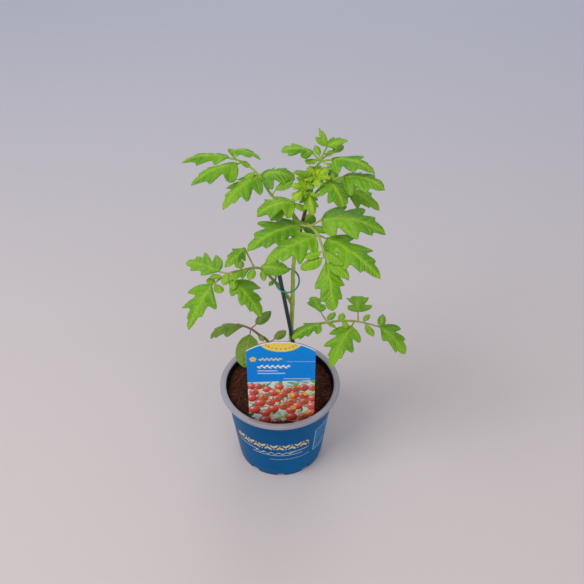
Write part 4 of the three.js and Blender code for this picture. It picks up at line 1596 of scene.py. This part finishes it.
@dataclass
class Pot:
    """The thin round nursery pot, with its flanged rim and the drained arches of its foot."""

    height: float = 95.0
    rim_radius: float = 60.0
    rim_depth: float = 4.4
    mouth_radius: float = 54.0
    wall_top: float = 54.4
    base_radius: float = 43.6
    wall: float = 1.2
    floor: float = 1.5
    sides: int = 160
    arches: int = 10
    arch_width: float = 9.0
    arch_height: float = 4.5
    arch_depth: float = 5.0
    arch_round: float = 3.4

    @property
    def under_rim(self) -> float:
        """The height of the rim's underside."""
        return self.height - self.rim_depth

    def wall_radius(self, z: float) -> float:
        """The radius of the wall's outer face at a height."""
        return self.base_radius + (self.wall_top - self.base_radius) * z / self.under_rim

    def profile(self) -> Outline:
        """The radius and height of each ring, from under the floor round to above it.

        Returns:
            The rings, in order.
        """
        top, mouth, rim, base = self.height, self.mouth_radius, self.rim_radius, self.base_radius
        under, last = self.under_rim, self.under_rim - 0.6
        ledge = self.arch_height + self.wall
        ledge_radius = base - self.arch_depth - self.wall
        outside = [(self.wall_radius(z), z) for z in (12, 13, 50, 84, last)]
        inside = [(self.wall_radius(z) - self.wall, z) for z in (89, 60, ledge)]
        return [
            (ledge_radius - 12, 0), (base - 1.6, 0), (base - 0.7, 0.12), (base - 0.1, 0.8), *outside,
            (self.wall_top + 0.5, under - 0.1), (rim - 1.2, under + 0.1), (rim - 0.3, under + 0.45),
            (rim, under + 1.2), (rim, top - 1.3), (rim - 0.35, top - 0.5), (rim - 1.2, top - 0.05),
            (rim - 2.4, top), (mouth + 1.6, top - 0.35), (mouth + 0.5, top - 0.8), (mouth, top - 1.6),
            *inside,
            (ledge_radius, ledge - 0.05), (ledge_radius - 0.1, self.floor), (ledge_radius - 14, self.floor),
        ]

    def shell(self) -> Piece:
        """The pot before its foot is cut, drawn up ring by ring from a circle.

        Returns:
            The uncut pot.
        """
        rings = self.profile()
        deselect()
        bpy.ops.mesh.primitive_circle_add(
            vertices=self.sides, radius=rings[0][0] * MM, location=(0, 0, 0), fill_type="NOTHING"
        )
        pot = newest("pot")
        with edit_mode():
            for (radius, z), (next_radius, next_z) in zip(rings, rings[1:]):
                draw_out(next_z - z, next_radius / radius, next_z)
            close_ring()
            bpy.ops.mesh.select_all(action="DESELECT")
        first = (rings[0][0] + 0.01) * MM
        places = [(vertex.index, vertex.co) for vertex in pot.data.vertices]
        choose(pot, "vertices", [index for index, co in places if abs(co.z) < 1e-6 and co.xy.length < first])
        with edit_mode(select_all=False):
            close_ring()
            face_outwards()
        return pot

    def arch_cutter(self) -> Piece:
        """The arches as one cutter: one block with a rounded top, copied round the foot.

        Returns:
            The cutter.
        """
        past, touch = 4, 1e-6
        reach, below = self.arch_depth + past, past / 2
        middle = self.base_radius - self.arch_depth + reach / 2
        deselect()
        bpy.ops.mesh.primitive_cube_add(size=1, location=(0, 0, 0))
        block = newest("arch_cutter")
        block.scale = (self.arch_width * MM, reach * MM, (self.arch_height + below) * MM)
        block.location = (0, middle * MM, (self.arch_height - below) / 2 * MM)
        settle(block)
        upper = []
        for edge in block.data.edges:
            first, second = (block.data.vertices[index].co for index in edge.vertices)
            if abs(first.z - second.z) < touch and abs(first.x - second.x) < touch and first.z > 0:
                upper.append(edge.index)
        choose(block, "edges", upper)
        with edit_mode(select_all=False):
            bpy.ops.mesh.select_mode(type="EDGE")
            bpy.ops.mesh.bevel(offset=self.arch_round * MM, segments=8, affect="EDGES")
        turns = [2 * math.pi * index / self.arches for index in range(1, self.arches)]
        others = [copy_of(block, Matrix.Rotation(turn, 4, "Z")) for turn in turns]
        return join([block, *others], "arch_cutter")

    def build(self) -> Piece:
        """Makes the whole pot, with slot 1 on its rim and slot 2 inside it.

        Returns:
            The finished piece.
        """
        pot = self.shell()
        cutter = self.arch_cutter()
        cut = pot.modifiers.new("arches", "BOOLEAN")
        cut.operation, cut.solver, cut.object = "DIFFERENCE", "EXACT", cutter
        finish_modifiers(pot)
        bpy.data.objects.remove(cutter)
        for face in pot.data.polygons:
            reach, z = face.center.xy.length / MM, face.center.z / MM
            rim = z > self.under_rim - 0.3 and reach > self.mouth_radius - 0.4
            inside = z > 2 and reach < self.wall_radius(z) - 0.6 * self.wall
            face.material_index = 1 if rim else 2 * inside
        smooth(pot, 35)
        return pot

    def dress(self, pot: Piece) -> None:
        """Gives the wall, the rim and the inside their plastics."""
        wear(
            pot,
            PlasticFinish("pot_blue", (0, 104, 166), (0, 88, 144), shine=0.05, scuffs=0.01).material(),
            PlasticFinish("rim_silver", (174, 172, 182), (158, 155, 166), gloss=0.3).material(),
            PlasticFinish("inside_dark", (22, 24, 34), (12, 13, 20), shine=0.2, scuffs=0.05).material(),
        )


class Ink(Enum):
    """The printing inks of the pot."""

    CREAM = (224, 208, 158)
    WHITE = (206, 216, 224)
    DARK = (10, 22, 50)
    SKY = (0, 128, 190)
    DEEP = (0, 80, 146)


@dataclass
class PotPrint:
    """A plain ornament in a few inks round the pot's front, and a small round-cornered badge."""

    pot: Pot
    proud: float = 0.09
    thickness: float = 0.12
    level: float = 45.0
    finest: float = 2.2
    garland_level: float = 52.5
    garland_marks: tuple[tuple[float, ...], ...] = (
        (-1.5, 1.6, 7.5, 3.0, 0.8), (1.5, -1.6, 6.0, 2.2, 0.8), (3.0, 3.4, 1.6, 1.6, 0),
    )

    def wrap(self, name: str, shapes: Sequence[Outline], lift: float = 0.0) -> Piece:
        """Lays flat shapes on the wall.

        Args:
            name: The piece's name.
            shapes: Outlines as [millimetres along the wall from its front, height] points.
            lift: How much further from the wall they lie than the other prints.

        Returns:
            One thin piece with all of them.
        """
        work = bmesh.new()
        for outline in shapes:
            work.faces.new([work.verts.new((along, height, 0)) for along, height in outline])
        for _ in range(12):
            wide = [edge for edge in work.edges if abs(edge.verts[0].co.x - edge.verts[1].co.x) > self.finest]
            if not wide:
                break
            bmesh.ops.subdivide_edges(work, edges=wide, cuts=1)
        bmesh.ops.triangulate(work, faces=work.faces)
        for vertex in work.verts:
            along, height, _ = vertex.co
            radius = self.pot.wall_radius(height) + (self.proud + lift)
            angle = along / self.pot.wall_radius(self.level)
            vertex.co = Vector((radius * math.sin(angle), -radius * math.cos(angle), height)) * MM
        bmesh.ops.recalc_face_normals(work, faces=work.faces)
        for face in work.faces:
            if face.normal.xy.dot(face.calc_center_median().xy) < 0:
                face.normal_flip()
        mesh = bpy.data.meshes.new(name)
        work.to_mesh(mesh)
        work.free()
        made = add_object(name, mesh)
        thicken(made, self.thickness)
        return made

    @staticmethod
    def ribbon(
        start: float, end: float, level: float, wide: float, wave: float = 0, waves: float = 1
    ) -> Outline:
        """A thin band along the wall that narrows at its ends.

        Args:
            start: Where it starts along the wall.
            end: Where it ends.
            level: The height of its middle line.
            wide: How wide it is.
            wave: How far it swings up and down.
            waves: How many swings it makes.

        Returns:
            Its outline.
        """
        marks = np.linspace(start, end, max(2, int((end - start) / 1.5)) + 1)
        middle = level + wave * np.sin(2 * np.pi * waves * (marks - start) / (end - start))
        taper = wide / 2 * np.minimum(1, np.minimum(marks - start, end - marks) / 3 + 0.25)
        return [*zip(marks, middle - taper), *reversed([*zip(marks, middle + taper)])]

    @staticmethod
    def leaf_mark(along: float, level: float, length: float, wide: float, turn: float) -> Outline:
        """The outline of a small pointed leaf.

        Args:
            along: Its middle along the wall.
            level: Its height.
            length: How long it is.
            wide: How wide it is.
            turn: How far it is turned, in radians.

        Returns:
            Its outline.
        """
        outline = []
        for share in np.linspace(0, 1, 17)[:-1]:
            angle = 2 * math.pi * share
            x = 0.5 * length * math.cos(angle)
            y = 0.5 * wide * math.sin(angle) * (1 - 0.35 * math.cos(angle) ** 2)
            over = along + x * math.cos(turn) - y * math.sin(turn)
            outline.append((over, level + x * math.sin(turn) + y * math.cos(turn)))
        return outline

    @staticmethod
    def round_box(left: float, right: float, low: float, high: float, corner: float) -> Outline:
        """The outline of a box with round corners.

        Args:
            left: Its left side.
            right: Its right side.
            low: Its foot.
            high: Its top.
            corner: The radius of its corners.

        Returns:
            The outline.
        """
        outline = []
        sides = (right - corner, left + corner, left + corner, right - corner)
        for quarter, x in enumerate(sides):
            y = high - corner if quarter < 2 else low + corner
            for share in range(5):
                angle = math.pi / 2 * (quarter + share / 4)
                outline.append((x + corner * math.cos(angle), y + corner * math.sin(angle)))
        return outline

    def garland(self) -> list[Outline]:
        """A row of crossed leaves and dots round the front.

        Returns:
            An outline for each mark.
        """
        marks = []
        for index, along in enumerate(np.linspace(-45, 27, 13)):
            rise = 1 if index % 2 else -1
            for step, up, length, wide, turn in self.garland_marks:
                level = self.garland_level + up * rise
                marks.append(self.leaf_mark(along + step, level, length, wide, turn * rise))
        return marks

    def build(self) -> list[tuple[Piece, Ink]]:
        """Makes the printed pieces, each with its ink.

        Returns:
            Pairs of a piece and an ink.
        """
        lines = ((-47, -22, 43.6, 0.8), (8, 31, 43.2, 0.9), (-30, 24, 38.2, 0.7))
        white = [self.ribbon(*line) for line in lines] + [self.ribbon(-26, 16, 41.6, 1.1, 1.5, 5.5)]
        white += [self.leaf_mark(along, 31.0, 1.3, 0.9, 0.3) for along in np.linspace(-10, 32, 22)]
        white += [self.ribbon(38, 63, 64, 0.8), self.ribbon(38, 63, 30, 0.8)]
        white += [[(x, 30), (x + 0.8, 30), (x + 0.8, 64), (x, 64)] for x in (37.6, 62.6)]
        dark = self.ribbon(-25, 17, 40.3, 0.9, 1.3, 5.5)
        badge = self.round_box(39, 62, 31, 63, 2.5)
        drops = ((50.5, 50, 15, 8, 1.57), (45.5, 42, 8, 4, 0.9), (56, 42, 8, 4, 2.2))
        return [
            (self.wrap("pot_print_cream", self.garland()), Ink.CREAM),
            (self.wrap("pot_print_white", white), Ink.WHITE),
            (self.wrap("pot_print_dark", [dark]), Ink.DARK),
            (self.wrap("pot_print_badge", [badge]), Ink.SKY),
            (self.wrap("pot_print_leafmark", [self.leaf_mark(*drop) for drop in drops], lift=0.07), Ink.DEEP),
        ]

    def dress(self, printed: Piece, ink: Ink) -> None:
        """Gives a print its ink."""
        wear(printed, PrintFinish(f"ink_{ink.name.lower()}", ink.value).material())


# ---- soil


@dataclass
class Soil:
    """The peat: a rough surface that sinks at the wall, crumbs and fibres."""

    pot: Pot
    level: float = 84.0
    wall_level: float = 81.0
    sink_from: float = 38.0
    sink_to: float = 52.05
    rise: float = 5.0
    rise_from: float = -42.0
    rise_to: float = -18.0
    mound: float = 3.0
    mound_at: tuple[float, float] = (-12.0, 34.0)
    mound_spread: float = 17.0
    radius: float = 51.6
    rings: int = 62
    margin: float = 1.2
    grains: tuple[tuple[float, float], ...] = ((1.0, 0.32), (0.7, 0.8), (0.4, 1.9))
    crumbs: int = 900
    crumb_sizes: tuple[float, ...] = (0.5, 0.6, 0.8, 1.0, 1.3, 1.9)
    fibres: int = 170

    def height(self, x: float, y: float) -> float:
        """The height of the surface before its grains.

        Args:
            x: The place across.
            y: The place from front to back.

        Returns:
            The height in millimetres.
        """
        edge = float(smoothstep(np.array(math.hypot(x, y)), self.sink_from, self.sink_to))
        away = ((x - self.mound_at[0]) ** 2 + (y - self.mound_at[1]) ** 2) / self.mound_spread**2
        ripple = 0.9 * math.sin(x / 5.3 + 1) * math.cos(y / 6.1) + 0.5 * math.sin(x / 2.9 - y / 3.7)
        rise = self.rise * float(smoothstep(np.array(y), self.rise_from, self.rise_to))
        bowl = between((self.level, self.wall_level), edge)
        return bowl + rise + self.mound * math.exp(-away) + ripple

    def surface(self, x: float, y: float) -> float:
        """The height of the surface with its grains."""
        place = Vector((x, y, 0))
        return self.height(x, y) + sum(depth * noise.noise(place * pace) for depth, pace in self.grains)

    def reach(self, x: float, y: float) -> float:
        """How far out the surface goes in the direction of a place, just inside the pot's wall."""
        share = self.radius / max(math.hypot(x, y), 1e-6)
        return self.pot.wall_radius(self.height(x * share, y * share)) - self.pot.wall - 0.3

    @staticmethod
    def at_label(x: float, y: float) -> bool:
        """Whether a place is too near the label."""
        return abs(x - 2) < 34 and abs(y + 41.5) < 1.8

    def build(self) -> Piece:
        """Makes the body of peat from a circle that is filled, drawn down and closed.

        Returns:
            The finished piece.
        """
        deselect()
        bpy.ops.mesh.primitive_circle_add(
            vertices=180, radius=self.radius * MM, location=(0, 0, 0), fill_type="NOTHING"
        )
        soil = newest("soil")
        shares = [1 - ring / self.rings for ring in range(self.rings)]
        with edit_mode():
            for share, wanted in zip(shares, shares[1:]):
                draw_out(0, wanted / share, 0)
            bpy.ops.mesh.merge(type="CENTER")
        rim = []
        for vertex in soil.data.vertices:
            x, y = vertex.co.x / MM, vertex.co.y / MM
            if math.hypot(x, y) > self.radius - 0.01:
                rim.append(vertex.index)
            share = self.reach(x, y) / self.radius
            x, y = x * share, y * share
            vertex.co = Vector((x, y, self.surface(x, y))) * MM
        choose(soil, "vertices", rim)
        with edit_mode(select_all=False):
            draw_out(-60, 0.83, 12, flatten=0)
            close_ring()
            face_outwards()
        smooth(soil, 80)
        return soil

    def spot(self, draw: random.Random) -> tuple[float, float]:
        """A random place on the surface that is clear of the label.

        Args:
            draw: The source of random numbers.

        Returns:
            Its x and y.
        """
        while True:
            share, angle = math.sqrt(draw.random()), draw.uniform(0, 6.283)
            x, y = math.cos(angle), math.sin(angle)
            x, y = (share * (self.reach(x, y) - self.margin) * part for part in (x, y))
            if not self.at_label(x, y):
                return x, y

    def build_crumbs(self) -> Piece:
        """Makes the loose crumbs: one lump that is modelled once, then copied, turned and pressed.

        Returns:
            The finished piece.
        """
        draw = random.Random(11)
        deselect()
        bpy.ops.mesh.primitive_ico_sphere_add(subdivisions=1, radius=1)
        lump = newest("crumb")
        corners = np.array([vertex.co[:] for vertex in lump.data.vertices])
        faces = [tuple(face.vertices) for face in lump.data.polygons]
        bpy.data.objects.remove(lump)
        parts = MeshParts()
        for _ in range(self.crumbs):
            x, y = self.spot(draw)
            size = draw.choice(self.crumb_sizes) * draw.uniform(0.8, 1.15)
            press = np.array([draw.uniform(0.7, 1.5), draw.uniform(0.6, 1.1), draw.uniform(0.45, 0.8)])
            uneven = 1 + np.array([[draw.uniform(-0.28, 0.22)] for _ in corners])
            turn = np.array(Quaternion((0, 0, 1), draw.uniform(0, ANY_TURN)).to_matrix())
            place = (x, y, self.surface(x, y) + 0.1 * size)
            parts.add((corners * uneven * press * size) @ turn.T + place, faces, 0)
        crumbs = parts.piece("soil_crumbs")
        smooth(crumbs, 50)
        return crumbs

    def build_fibres(self) -> Piece:
        """Makes the pale fibres that lie on the peat.

        Returns:
            The finished piece.
        """
        draw = random.Random(23)
        parts = MeshParts()
        for _ in range(self.fibres):
            x, y = self.spot(draw)
            heading, bend = draw.uniform(0, ANY_TURN), draw.uniform(-0.35, 0.35)
            length = draw.uniform(3, 11)
            line = []
            for step in range(6):
                line.append((x, y, self.surface(x, y) + 0.35 + 0.5 * math.sin(step * 0.6)))
                x, y = x + length / 5 * math.cos(heading), y + length / 5 * math.sin(heading)
                heading += bend
                if math.hypot(x, y) > self.reach(x, y) - self.margin or self.at_label(x, y):
                    break
            if len(line) > 2:
                thin = draw.uniform(0.1, 0.24)
                radii = np.interp(np.linspace(0, 1, len(line)), [0, 0.4, 1], [0.6 * thin, thin, 0.4 * thin])
                parts.tube(np.array(line), radii, 5, 0)
        return parts.piece("soil_fibres")

    def dress(self, soil: Piece, crumbs: Piece, fibres: Piece) -> None:
        """Gives the peat its browns.

        Args:
            soil: The body of peat.
            crumbs: The crumbs on it.
            fibres: The fibres.
        """
        wear(soil, PeatFinish("peat", (40, 15, 9), (80, 35, 20)).material())
        wear(crumbs, PeatFinish("peat_crumb", (54, 22, 14), (104, 50, 30)).material())
        wear(fibres, PeatFinish("peat_fibre", (150, 84, 46), (196, 128, 76)).material())


# ---- label


@dataclass
class PictureLabel:
    """The printed plastic label: an arched blue head over a picture of cherry tomatoes."""

    width: float = 62.6
    top: float = 189.5
    arch_rise: float = 11.0
    arch_from: float = 140.0
    thickness: float = 0.7
    x: float = 2.0
    front_y: float = -41.8
    neck: tuple[tuple[float, float], ...] = ((32.0, 4.0), (70.0, 15.0), (86.0, 54.0), (95.0, 62.6))
    columns: int = 150
    rows: int = 330

    def arch(self, x: Array) -> Array:
        """The height of the arched top at a place across the label.

        Args:
            x: The place across.

        Returns:
            The height there.
        """
        half = self.width / 2
        radius = (half**2 + self.arch_rise**2) / (2 * self.arch_rise)
        return self.top - radius + np.sqrt(radius**2 - np.clip(x, -half, half) ** 2)

    def build(self) -> Piece:
        """Makes the label from a grid that is drawn to its outline, painted and thickened.

        Returns:
            The finished piece.
        """
        deselect()
        bpy.ops.mesh.primitive_grid_add(x_subdivisions=self.columns, y_subdivisions=self.rows, size=2)
        label = newest("plant_label")
        mesh = label.data
        place = np.zeros(len(mesh.vertices) * 3)
        mesh.vertices.foreach_get("co", place)
        place = place.reshape(-1, 3)
        heights, widths = np.array(self.neck).T
        spring = self.top - self.arch_rise
        level = heights[0] + (spring - heights[0]) * ((place[:, 1] + 1) / 2)
        x = place[:, 0] * np.interp(level, heights, widths / 2)
        z = level + (self.arch(x) - spring) * smoothstep(level, self.arch_from, spring)
        place[:] = np.column_stack([self.x + x, np.full_like(x, self.front_y), z])
        mesh.vertices.foreach_set("co", (place * MM).ravel())
        colours = np.column_stack([LabelPicture(self, x, z).paint(), np.ones_like(x)]).astype(np.float32)
        layer = mesh.attributes.new("print", "FLOAT_COLOR", "POINT")
        layer.data.foreach_set("color", colours.ravel())
        mesh.update()
        if mesh.polygons[0].normal.y > 0:
            with edit_mode():
                bpy.ops.mesh.flip_normals()
        self.dress(label)
        thicken(label, self.thickness, slots=1)
        return label

    def dress(self, label: Piece) -> None:
        """Gives the label its picture, and white plastic for the wall that it gets behind it."""
        edge = PlasticFinish("label_edge", (238, 240, 244), (222, 226, 234))
        wear(label, PictureFinish().material(), edge.material())


@dataclass
class LabelPicture:
    """The generic design on the label, painted point by point.

    x is each point's place across the label from its middle and z its height, in millimetres.
    """

    label: PictureLabel
    x: Array
    z: Array
    ink: Array = field(init=False)
    shimmer: tuple[Colour, ...] = ((70, 190, 184), (120, 206, 150), (24, 140, 100), (246, 252, 252))
    greens: tuple[Colour, ...] = ((60, 136, 40), (110, 176, 50), (30, 100, 44), (166, 206, 84))

    def paint(self) -> Array:
        """Gives each point its linear colour.

        Returns:
            A colour for each point.
        """
        self.ink = np.tile(np.array(tint((0, 122, 204))[:3]), (len(self.x), 1))
        self.picture()
        self.head()
        return self.ink

    def lay(self, share: Array, colour: Colour) -> None:
        """Lays a colour over the points by a share for each."""
        self.ink += share[:, None] * (np.array(tint(colour)[:3]) - self.ink)

    def flower(self, cx: float, cz: float, turn: float, reach: float, petal: float, colour: Colour) -> None:
        """Paints five round petals.

        Args:
            cx: The flower's middle across the label.
            cz: Its height.
            turn: Where its first petal points, in degrees.
            reach: How far its petals stand from its middle.
            petal: A petal's radius, in which its edge is soft.
            colour: Its colour.
        """
        for angle in np.radians(turn + 72 * np.arange(5)):
            gap = np.hypot(self.x - cx - reach * math.cos(angle), self.z - cz - reach * math.sin(angle))
            self.lay(fade(gap, petal, petal + 0.35), colour)

    def garland(self, start: float, end: float, level: float, size: float, colour: Colour) -> None:
        """Paints a row of slanting leaf shapes on a thin stalk.

        Args:
            start: Where the row starts across the label.
            end: Where it ends.
            level: Its height.
            size: How high the row is.
            colour: Its colour.
        """
        self.lay(band(self.x, start, end, 0.4) * fade(np.abs(self.z - level), 0.12, 0.35), colour)
        for index, centre in enumerate(np.arange(start + 0.5 * size, end - 0.3 * size, 0.72 * size)):
            rise = 1 if index % 2 else -1
            up = self.z - level - 0.3 * size * rise
            along, beside = turned(self.x - centre, up, math.radians(34 * rise))
            self.lay(fade(np.hypot(along / (0.58 * size), beside / (0.24 * size)), 0.85, 1.1), colour)

    def head(self) -> None:
        """Paints the blue head: a yellow sun with dots, a flower, vines, bars and lines."""
        x, z = self.x, self.z
        blue = smoothstep(z - (139.5 + 0.055 * x), -0.2, 0.2)
        self.lay(blue, (0, 140, 236))
        self.lay(blue * smoothstep(z, 150, 185) * 0.5, (0, 154, 246))
        sun = fade(np.hypot(x / 20.5, (z - 192) / 14.5), 0.985, 1.01)
        self.lay(sun * blue, (255, 224, 100))
        for index in range(9):
            angle = math.radians(-90 + (index - 4) * 15)
            dot = np.hypot(x - 15.6 * math.cos(angle), z - 191 - 10 * math.sin(angle))
            self.lay(fade(dot, 0.55 + 0.1 * (index % 2), 0.85) * sun, (176, 122, 40))
        self.lay(fade(self.label.arch(x) - z, 0.5, 0.8) * smoothstep(z, 172, 176), (238, 244, 250))
        self.lay(fade(np.abs(z - 165.2), 0.12, 0.35) * smoothstep(x, 1, 3) * 0.8, (200, 226, 244))
        self.flower(-25.5, 168, 90, 1.9, 1.15, (250, 214, 90))
        self.garland(-20.5, 1.5, 168, 2.8, (250, 232, 156))
        self.garland(-22, 9, 158.6, 3.4, (250, 252, 255))
        for start, end, level, half in ((-22, -3, 153.2, 0.55), (-22, 4, 149.8, 0.55), (2, 27, 142.8, 0.4)):
            bar = band(x, start, end, 0.5) * fade(np.abs(z - level), half - 0.2, half + 0.15)
            self.lay(bar, (214, 232, 246))

    def picture(self) -> None:
        """Paints the lower picture: a pale ground, greenery, vines, red tomatoes and blossoms."""
        draw = random.Random(5)
        x, z = self.x, self.z
        self.lay(np.ones_like(x), (222, 234, 230))
        for _ in range(70):
            cx, cz = draw.uniform(-32, 32), draw.uniform(110, 142)
            size = draw.uniform(1.2, 4)
            spot = np.exp(-(((x - cx) / size) ** 2 + ((z - cz) / (0.5 * size)) ** 2))
            self.lay(spot * 0.75, draw.choice(self.shimmer))
        for _ in range(80):
            cx, cz = draw.uniform(-31, 31), draw.uniform(84, 139)
            turn, length, wide = draw.uniform(0, 3.14), draw.uniform(3, 6.5), draw.uniform(0.8, 1.8)
            along, over = turned(x - cx, z - cz, turn)
            leaf = fade(np.hypot(along / length, over / wide), 0.85, 1.05)
            self.lay(leaf * 0.9, draw.choice(self.greens))
        fruits = self.fruits(draw)
        for (cx, cz, _), (nx, nz, _) in zip(fruits, fruits[1:]):
            dx, dz = nx - cx, nz - cz
            if math.hypot(dx, dz) < 14:
                share = np.clip(((x - cx) * dx + (z - cz) * dz) / (dx**2 + dz**2), 0, 1)
                gap = np.hypot(x - cx - share * dx, z - cz - share * dz - 2 * share * (1 - share))
                self.lay(0.9 * fade(gap, 0.35, 0.6), (104, 92, 44))
        for cx, cz, size in fruits:
            self.tomato((x - cx) / size, (z - cz) / size, draw)
        for _ in range(7):
            self.flower(draw.uniform(-28, 28), draw.uniform(88, 130), 20, 1.5, 0.7, (248, 214, 40))

    @staticmethod
    def fruits(draw: random.Random) -> list[Point]:
        """The tomatoes' places and radii, from the top down, larger towards the foot of the picture.

        Args:
            draw: The source of random numbers.

        Returns:
            The x, the height and the radius of each.
        """
        placed: list[Point] = []
        for _ in range(1500):
            cz = draw.uniform(80, 133)
            size = 4.3 + 1.6 * (133 - cz) / 50 + draw.uniform(-0.5, 0.6)
            cx = draw.uniform(-32, 32)
            if all(math.hypot(cx - a, cz - b) > 0.78 * (size + c) for a, b, c in placed):
                placed.append((cx, cz, size))
        return sorted([fruit for fruit in placed if draw.random() > 0.1], key=lambda fruit: -fruit[1])

    def tomato(self, across: Array, up: Array, draw: random.Random) -> None:
        """Paints one round tomato.

        Args:
            across: Each point's place across the fruit, in its radii.
            up: Each point's place up the fruit, in its radii.
            draw: Where its shade and its turn are drawn from.
        """
        reach = np.hypot(across, up)
        ball = fade(reach, 0.93, 1.04)
        lit = np.clip(0.5 - 0.4 * across + 0.6 * up, 0, 1)
        ripe = draw.uniform(-10, 14)
        self.lay(ball, (204 + ripe, 38 + ripe, 36))
        self.lay(ball * lit * 0.85, (250, 132 + ripe, 114))
        self.lay(ball * smoothstep(reach, 0.72, 1.0) * 0.5, (132, 16, 16))
        shine = np.exp(-(((across + 0.35) / 0.26) ** 2 + ((up - 0.42) / 0.2) ** 2))
        self.lay(shine * 0.9, (255, 236, 226))
        turn = draw.uniform(0, 72)
        if draw.random() < 0.45:
            for spoke in range(5):
                along, over = turned(across, up - 0.1, math.radians(72 * spoke + turn))
                sepal = (along > 0) * fade(along, 0.45, 0.55) * fade(np.abs(over), 0.06, 0.12)
                self.lay(sepal * 0.9, (70, 112, 34))


# ---- studio


@dataclass
class Studio:
    """The pale floor, the soft lights and the camera. Lamps and their aims are in metres."""

    camera_at: Point = (12.0, -563.6, 688.9)
    pitch: float = 40.2
    lens: float = 50.0
    sensor: float = 36.0
    bend_from: float = 2.2
    air: Colour = (0.93, 0.95, 1.0)
    air_power: float = 0.42

    def build(self) -> None:
        """Sets up all of it, with the key light at the upper left, two fills and an even sky."""
        self.floor()
        self.lamp("key_light", (-1.0, -0.7, 1.7), (0, 0, 0.15), 1.1, 17, (1.0, 0.985, 0.96))
        self.lamp("front_fill", (0.7, -1.5, 1.2), (0, 0, 0.15), 1.6, 5, (0.96, 0.98, 1.0))
        self.lamp("back_fill", (0.3, 2.2, 2.0), (0, 0.9, 0.1), 1.8, 12, (0.94, 0.96, 1.0))
        self.sky()
        self.camera()

    def floor(self) -> None:
        """Makes the floor from a grid whose far end rises in a soft bend."""
        deselect()
        bpy.ops.mesh.primitive_grid_add(x_subdivisions=24, y_subdivisions=60, size=8, location=(0, 1.2, 0))
        floor = newest("studio_floor")
        settle(floor)
        for vertex in floor.data.vertices:
            vertex.co.z = 0.35 * max(0.0, vertex.co.y - self.bend_from) ** 2
        smooth(floor, 80)
        wear(floor, FloorFinish().material())

    def lamp(self, name: str, at: Point, aim: Point, size: float, power: float, colour: Colour) -> None:
        """Adds a square soft light.

        Args:
            name: Its name.
            at: Where it is.
            aim: What it shines at.
            size: The length of its side.
            power: Its power in watts.
            colour: Its colour.
        """
        data = bpy.data.lights.new(name, "AREA")
        data.size, data.energy, data.color = size, power, colour
        lamp = add_object(name, data)
        lamp.location = at
        lamp.rotation_euler = (Vector(aim) - Vector(at)).to_track_quat("-Z", "Y").to_euler()

    def sky(self) -> None:
        """Sets the even light from all round, and plain colours."""
        scene = bpy.context.scene
        scene.world = bpy.data.worlds.new("studio_air")
        scene.world.use_nodes = True
        air = scene.world.node_tree.nodes["Background"]
        air.inputs[0].default_value = (*self.air, 1)
        air.inputs[1].default_value = self.air_power
        scene.view_settings.view_transform = "Standard"
        scene.view_settings.look = "None"

    def camera(self) -> None:
        """Adds the camera at the photograph's angle."""
        data = bpy.data.cameras.new("camera")
        data.lens, data.sensor_width = self.lens, self.sensor
        data.clip_start, data.clip_end = 0.01, 50
        camera = add_object("camera", data)
        camera.location = Vector(self.camera_at) * MM
        camera.rotation_euler = (math.radians(90 - self.pitch), 0, 0)
        bpy.context.scene.camera = camera


# ---- the plant


def wardrobe() -> dict[Enum, Material]:
    """The skins of the leaves and the colours of their stalks.

    Returns:
        A material for each age and tone.
    """
    blades = {
        LeafAge.MATURE: BladeFinish(
            "leaf_green", (130, 187, 20), (88, 152, 12), (190, 214, 84), (150, 186, 90), (138, 191, 24), 3.5
        ),
        LeafAge.FRESH: BladeFinish(
            "leaf_fresh", (132, 188, 22), (92, 156, 14), (196, 218, 88), (150, 186, 90), (150, 197, 26), 2.2
        ),
        LeafAge.OLD: BladeFinish(
            "leaf_olive", (132, 164, 48), (96, 136, 36), (176, 190, 100), (150, 166, 110), vein_share=0.25
        ),
        LeafAge.YOUNG: BladeFinish(
            "leaf_young", (138, 194, 28), (108, 170, 22), (206, 222, 76), (170, 200, 80), (178, 208, 26)
        ),
    }
    tones = {
        StalkTone.BROWN: ((168, 146, 100), (148, 116, 90), (130, 94, 82)),
        StalkTone.OLIVE: ((178, 192, 96), (154, 166, 80), (132, 118, 72)),
        StalkTone.GREEN: ((184, 200, 96), (158, 180, 72), (144, 146, 64)),
        StalkTone.FRESH: ((164, 196, 54), (138, 178, 38), (136, 160, 44)),
    }
    stalks = {tone: StalkFinish(tone.value, *colours) for tone, colours in tones.items()}
    return {kind: finish.material() for kind, finish in (blades | stalks).items()}


def main() -> None:
    """Builds the pieces in order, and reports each."""
    pot = Pot()
    shell = pot.build()
    pot.dress(shell)
    show(shell, "pot_plastic", "pot")
    ornament = PotPrint(pot)
    for printed, ink in ornament.build():
        ornament.dress(printed, ink)
        show(printed, "pot_plastic")

    soil = Soil(pot)
    body, crumbs, fibres = soil.build(), soil.build_crumbs(), soil.build_fibres()
    soil.dress(body, crumbs, fibres)
    show(body, "peat", "soil")
    show(crumbs, "peat")
    show(fibres, "peat")

    show(PictureLabel().build(), "label_plastic", "plant_label")
    for maker, slot, node in ((Cane(), "cane_wood", "cane"), (RingClip(), "ring_plastic", "ring_clip")):
        piece = maker.build()
        maker.dress(piece)
        show(piece, slot, node)

    stem = MainStem()
    trunk, down = stem.build(), stem.build_down()
    stem.dress(trunk, down)
    show(trunk, "stem", "main_stem")
    show(down, "stem")
    skins = wardrobe()
    for leaf in LEAVES:
        piece = leaf.build()
        leaf.dress(piece, skins)
        show(piece, leaf.age.slot, leaf.name)

    Studio().build()


if __name__ == "__main__":
    logging.basicConfig(level=logging.INFO, format="%(name)s %(message)s")
    main()
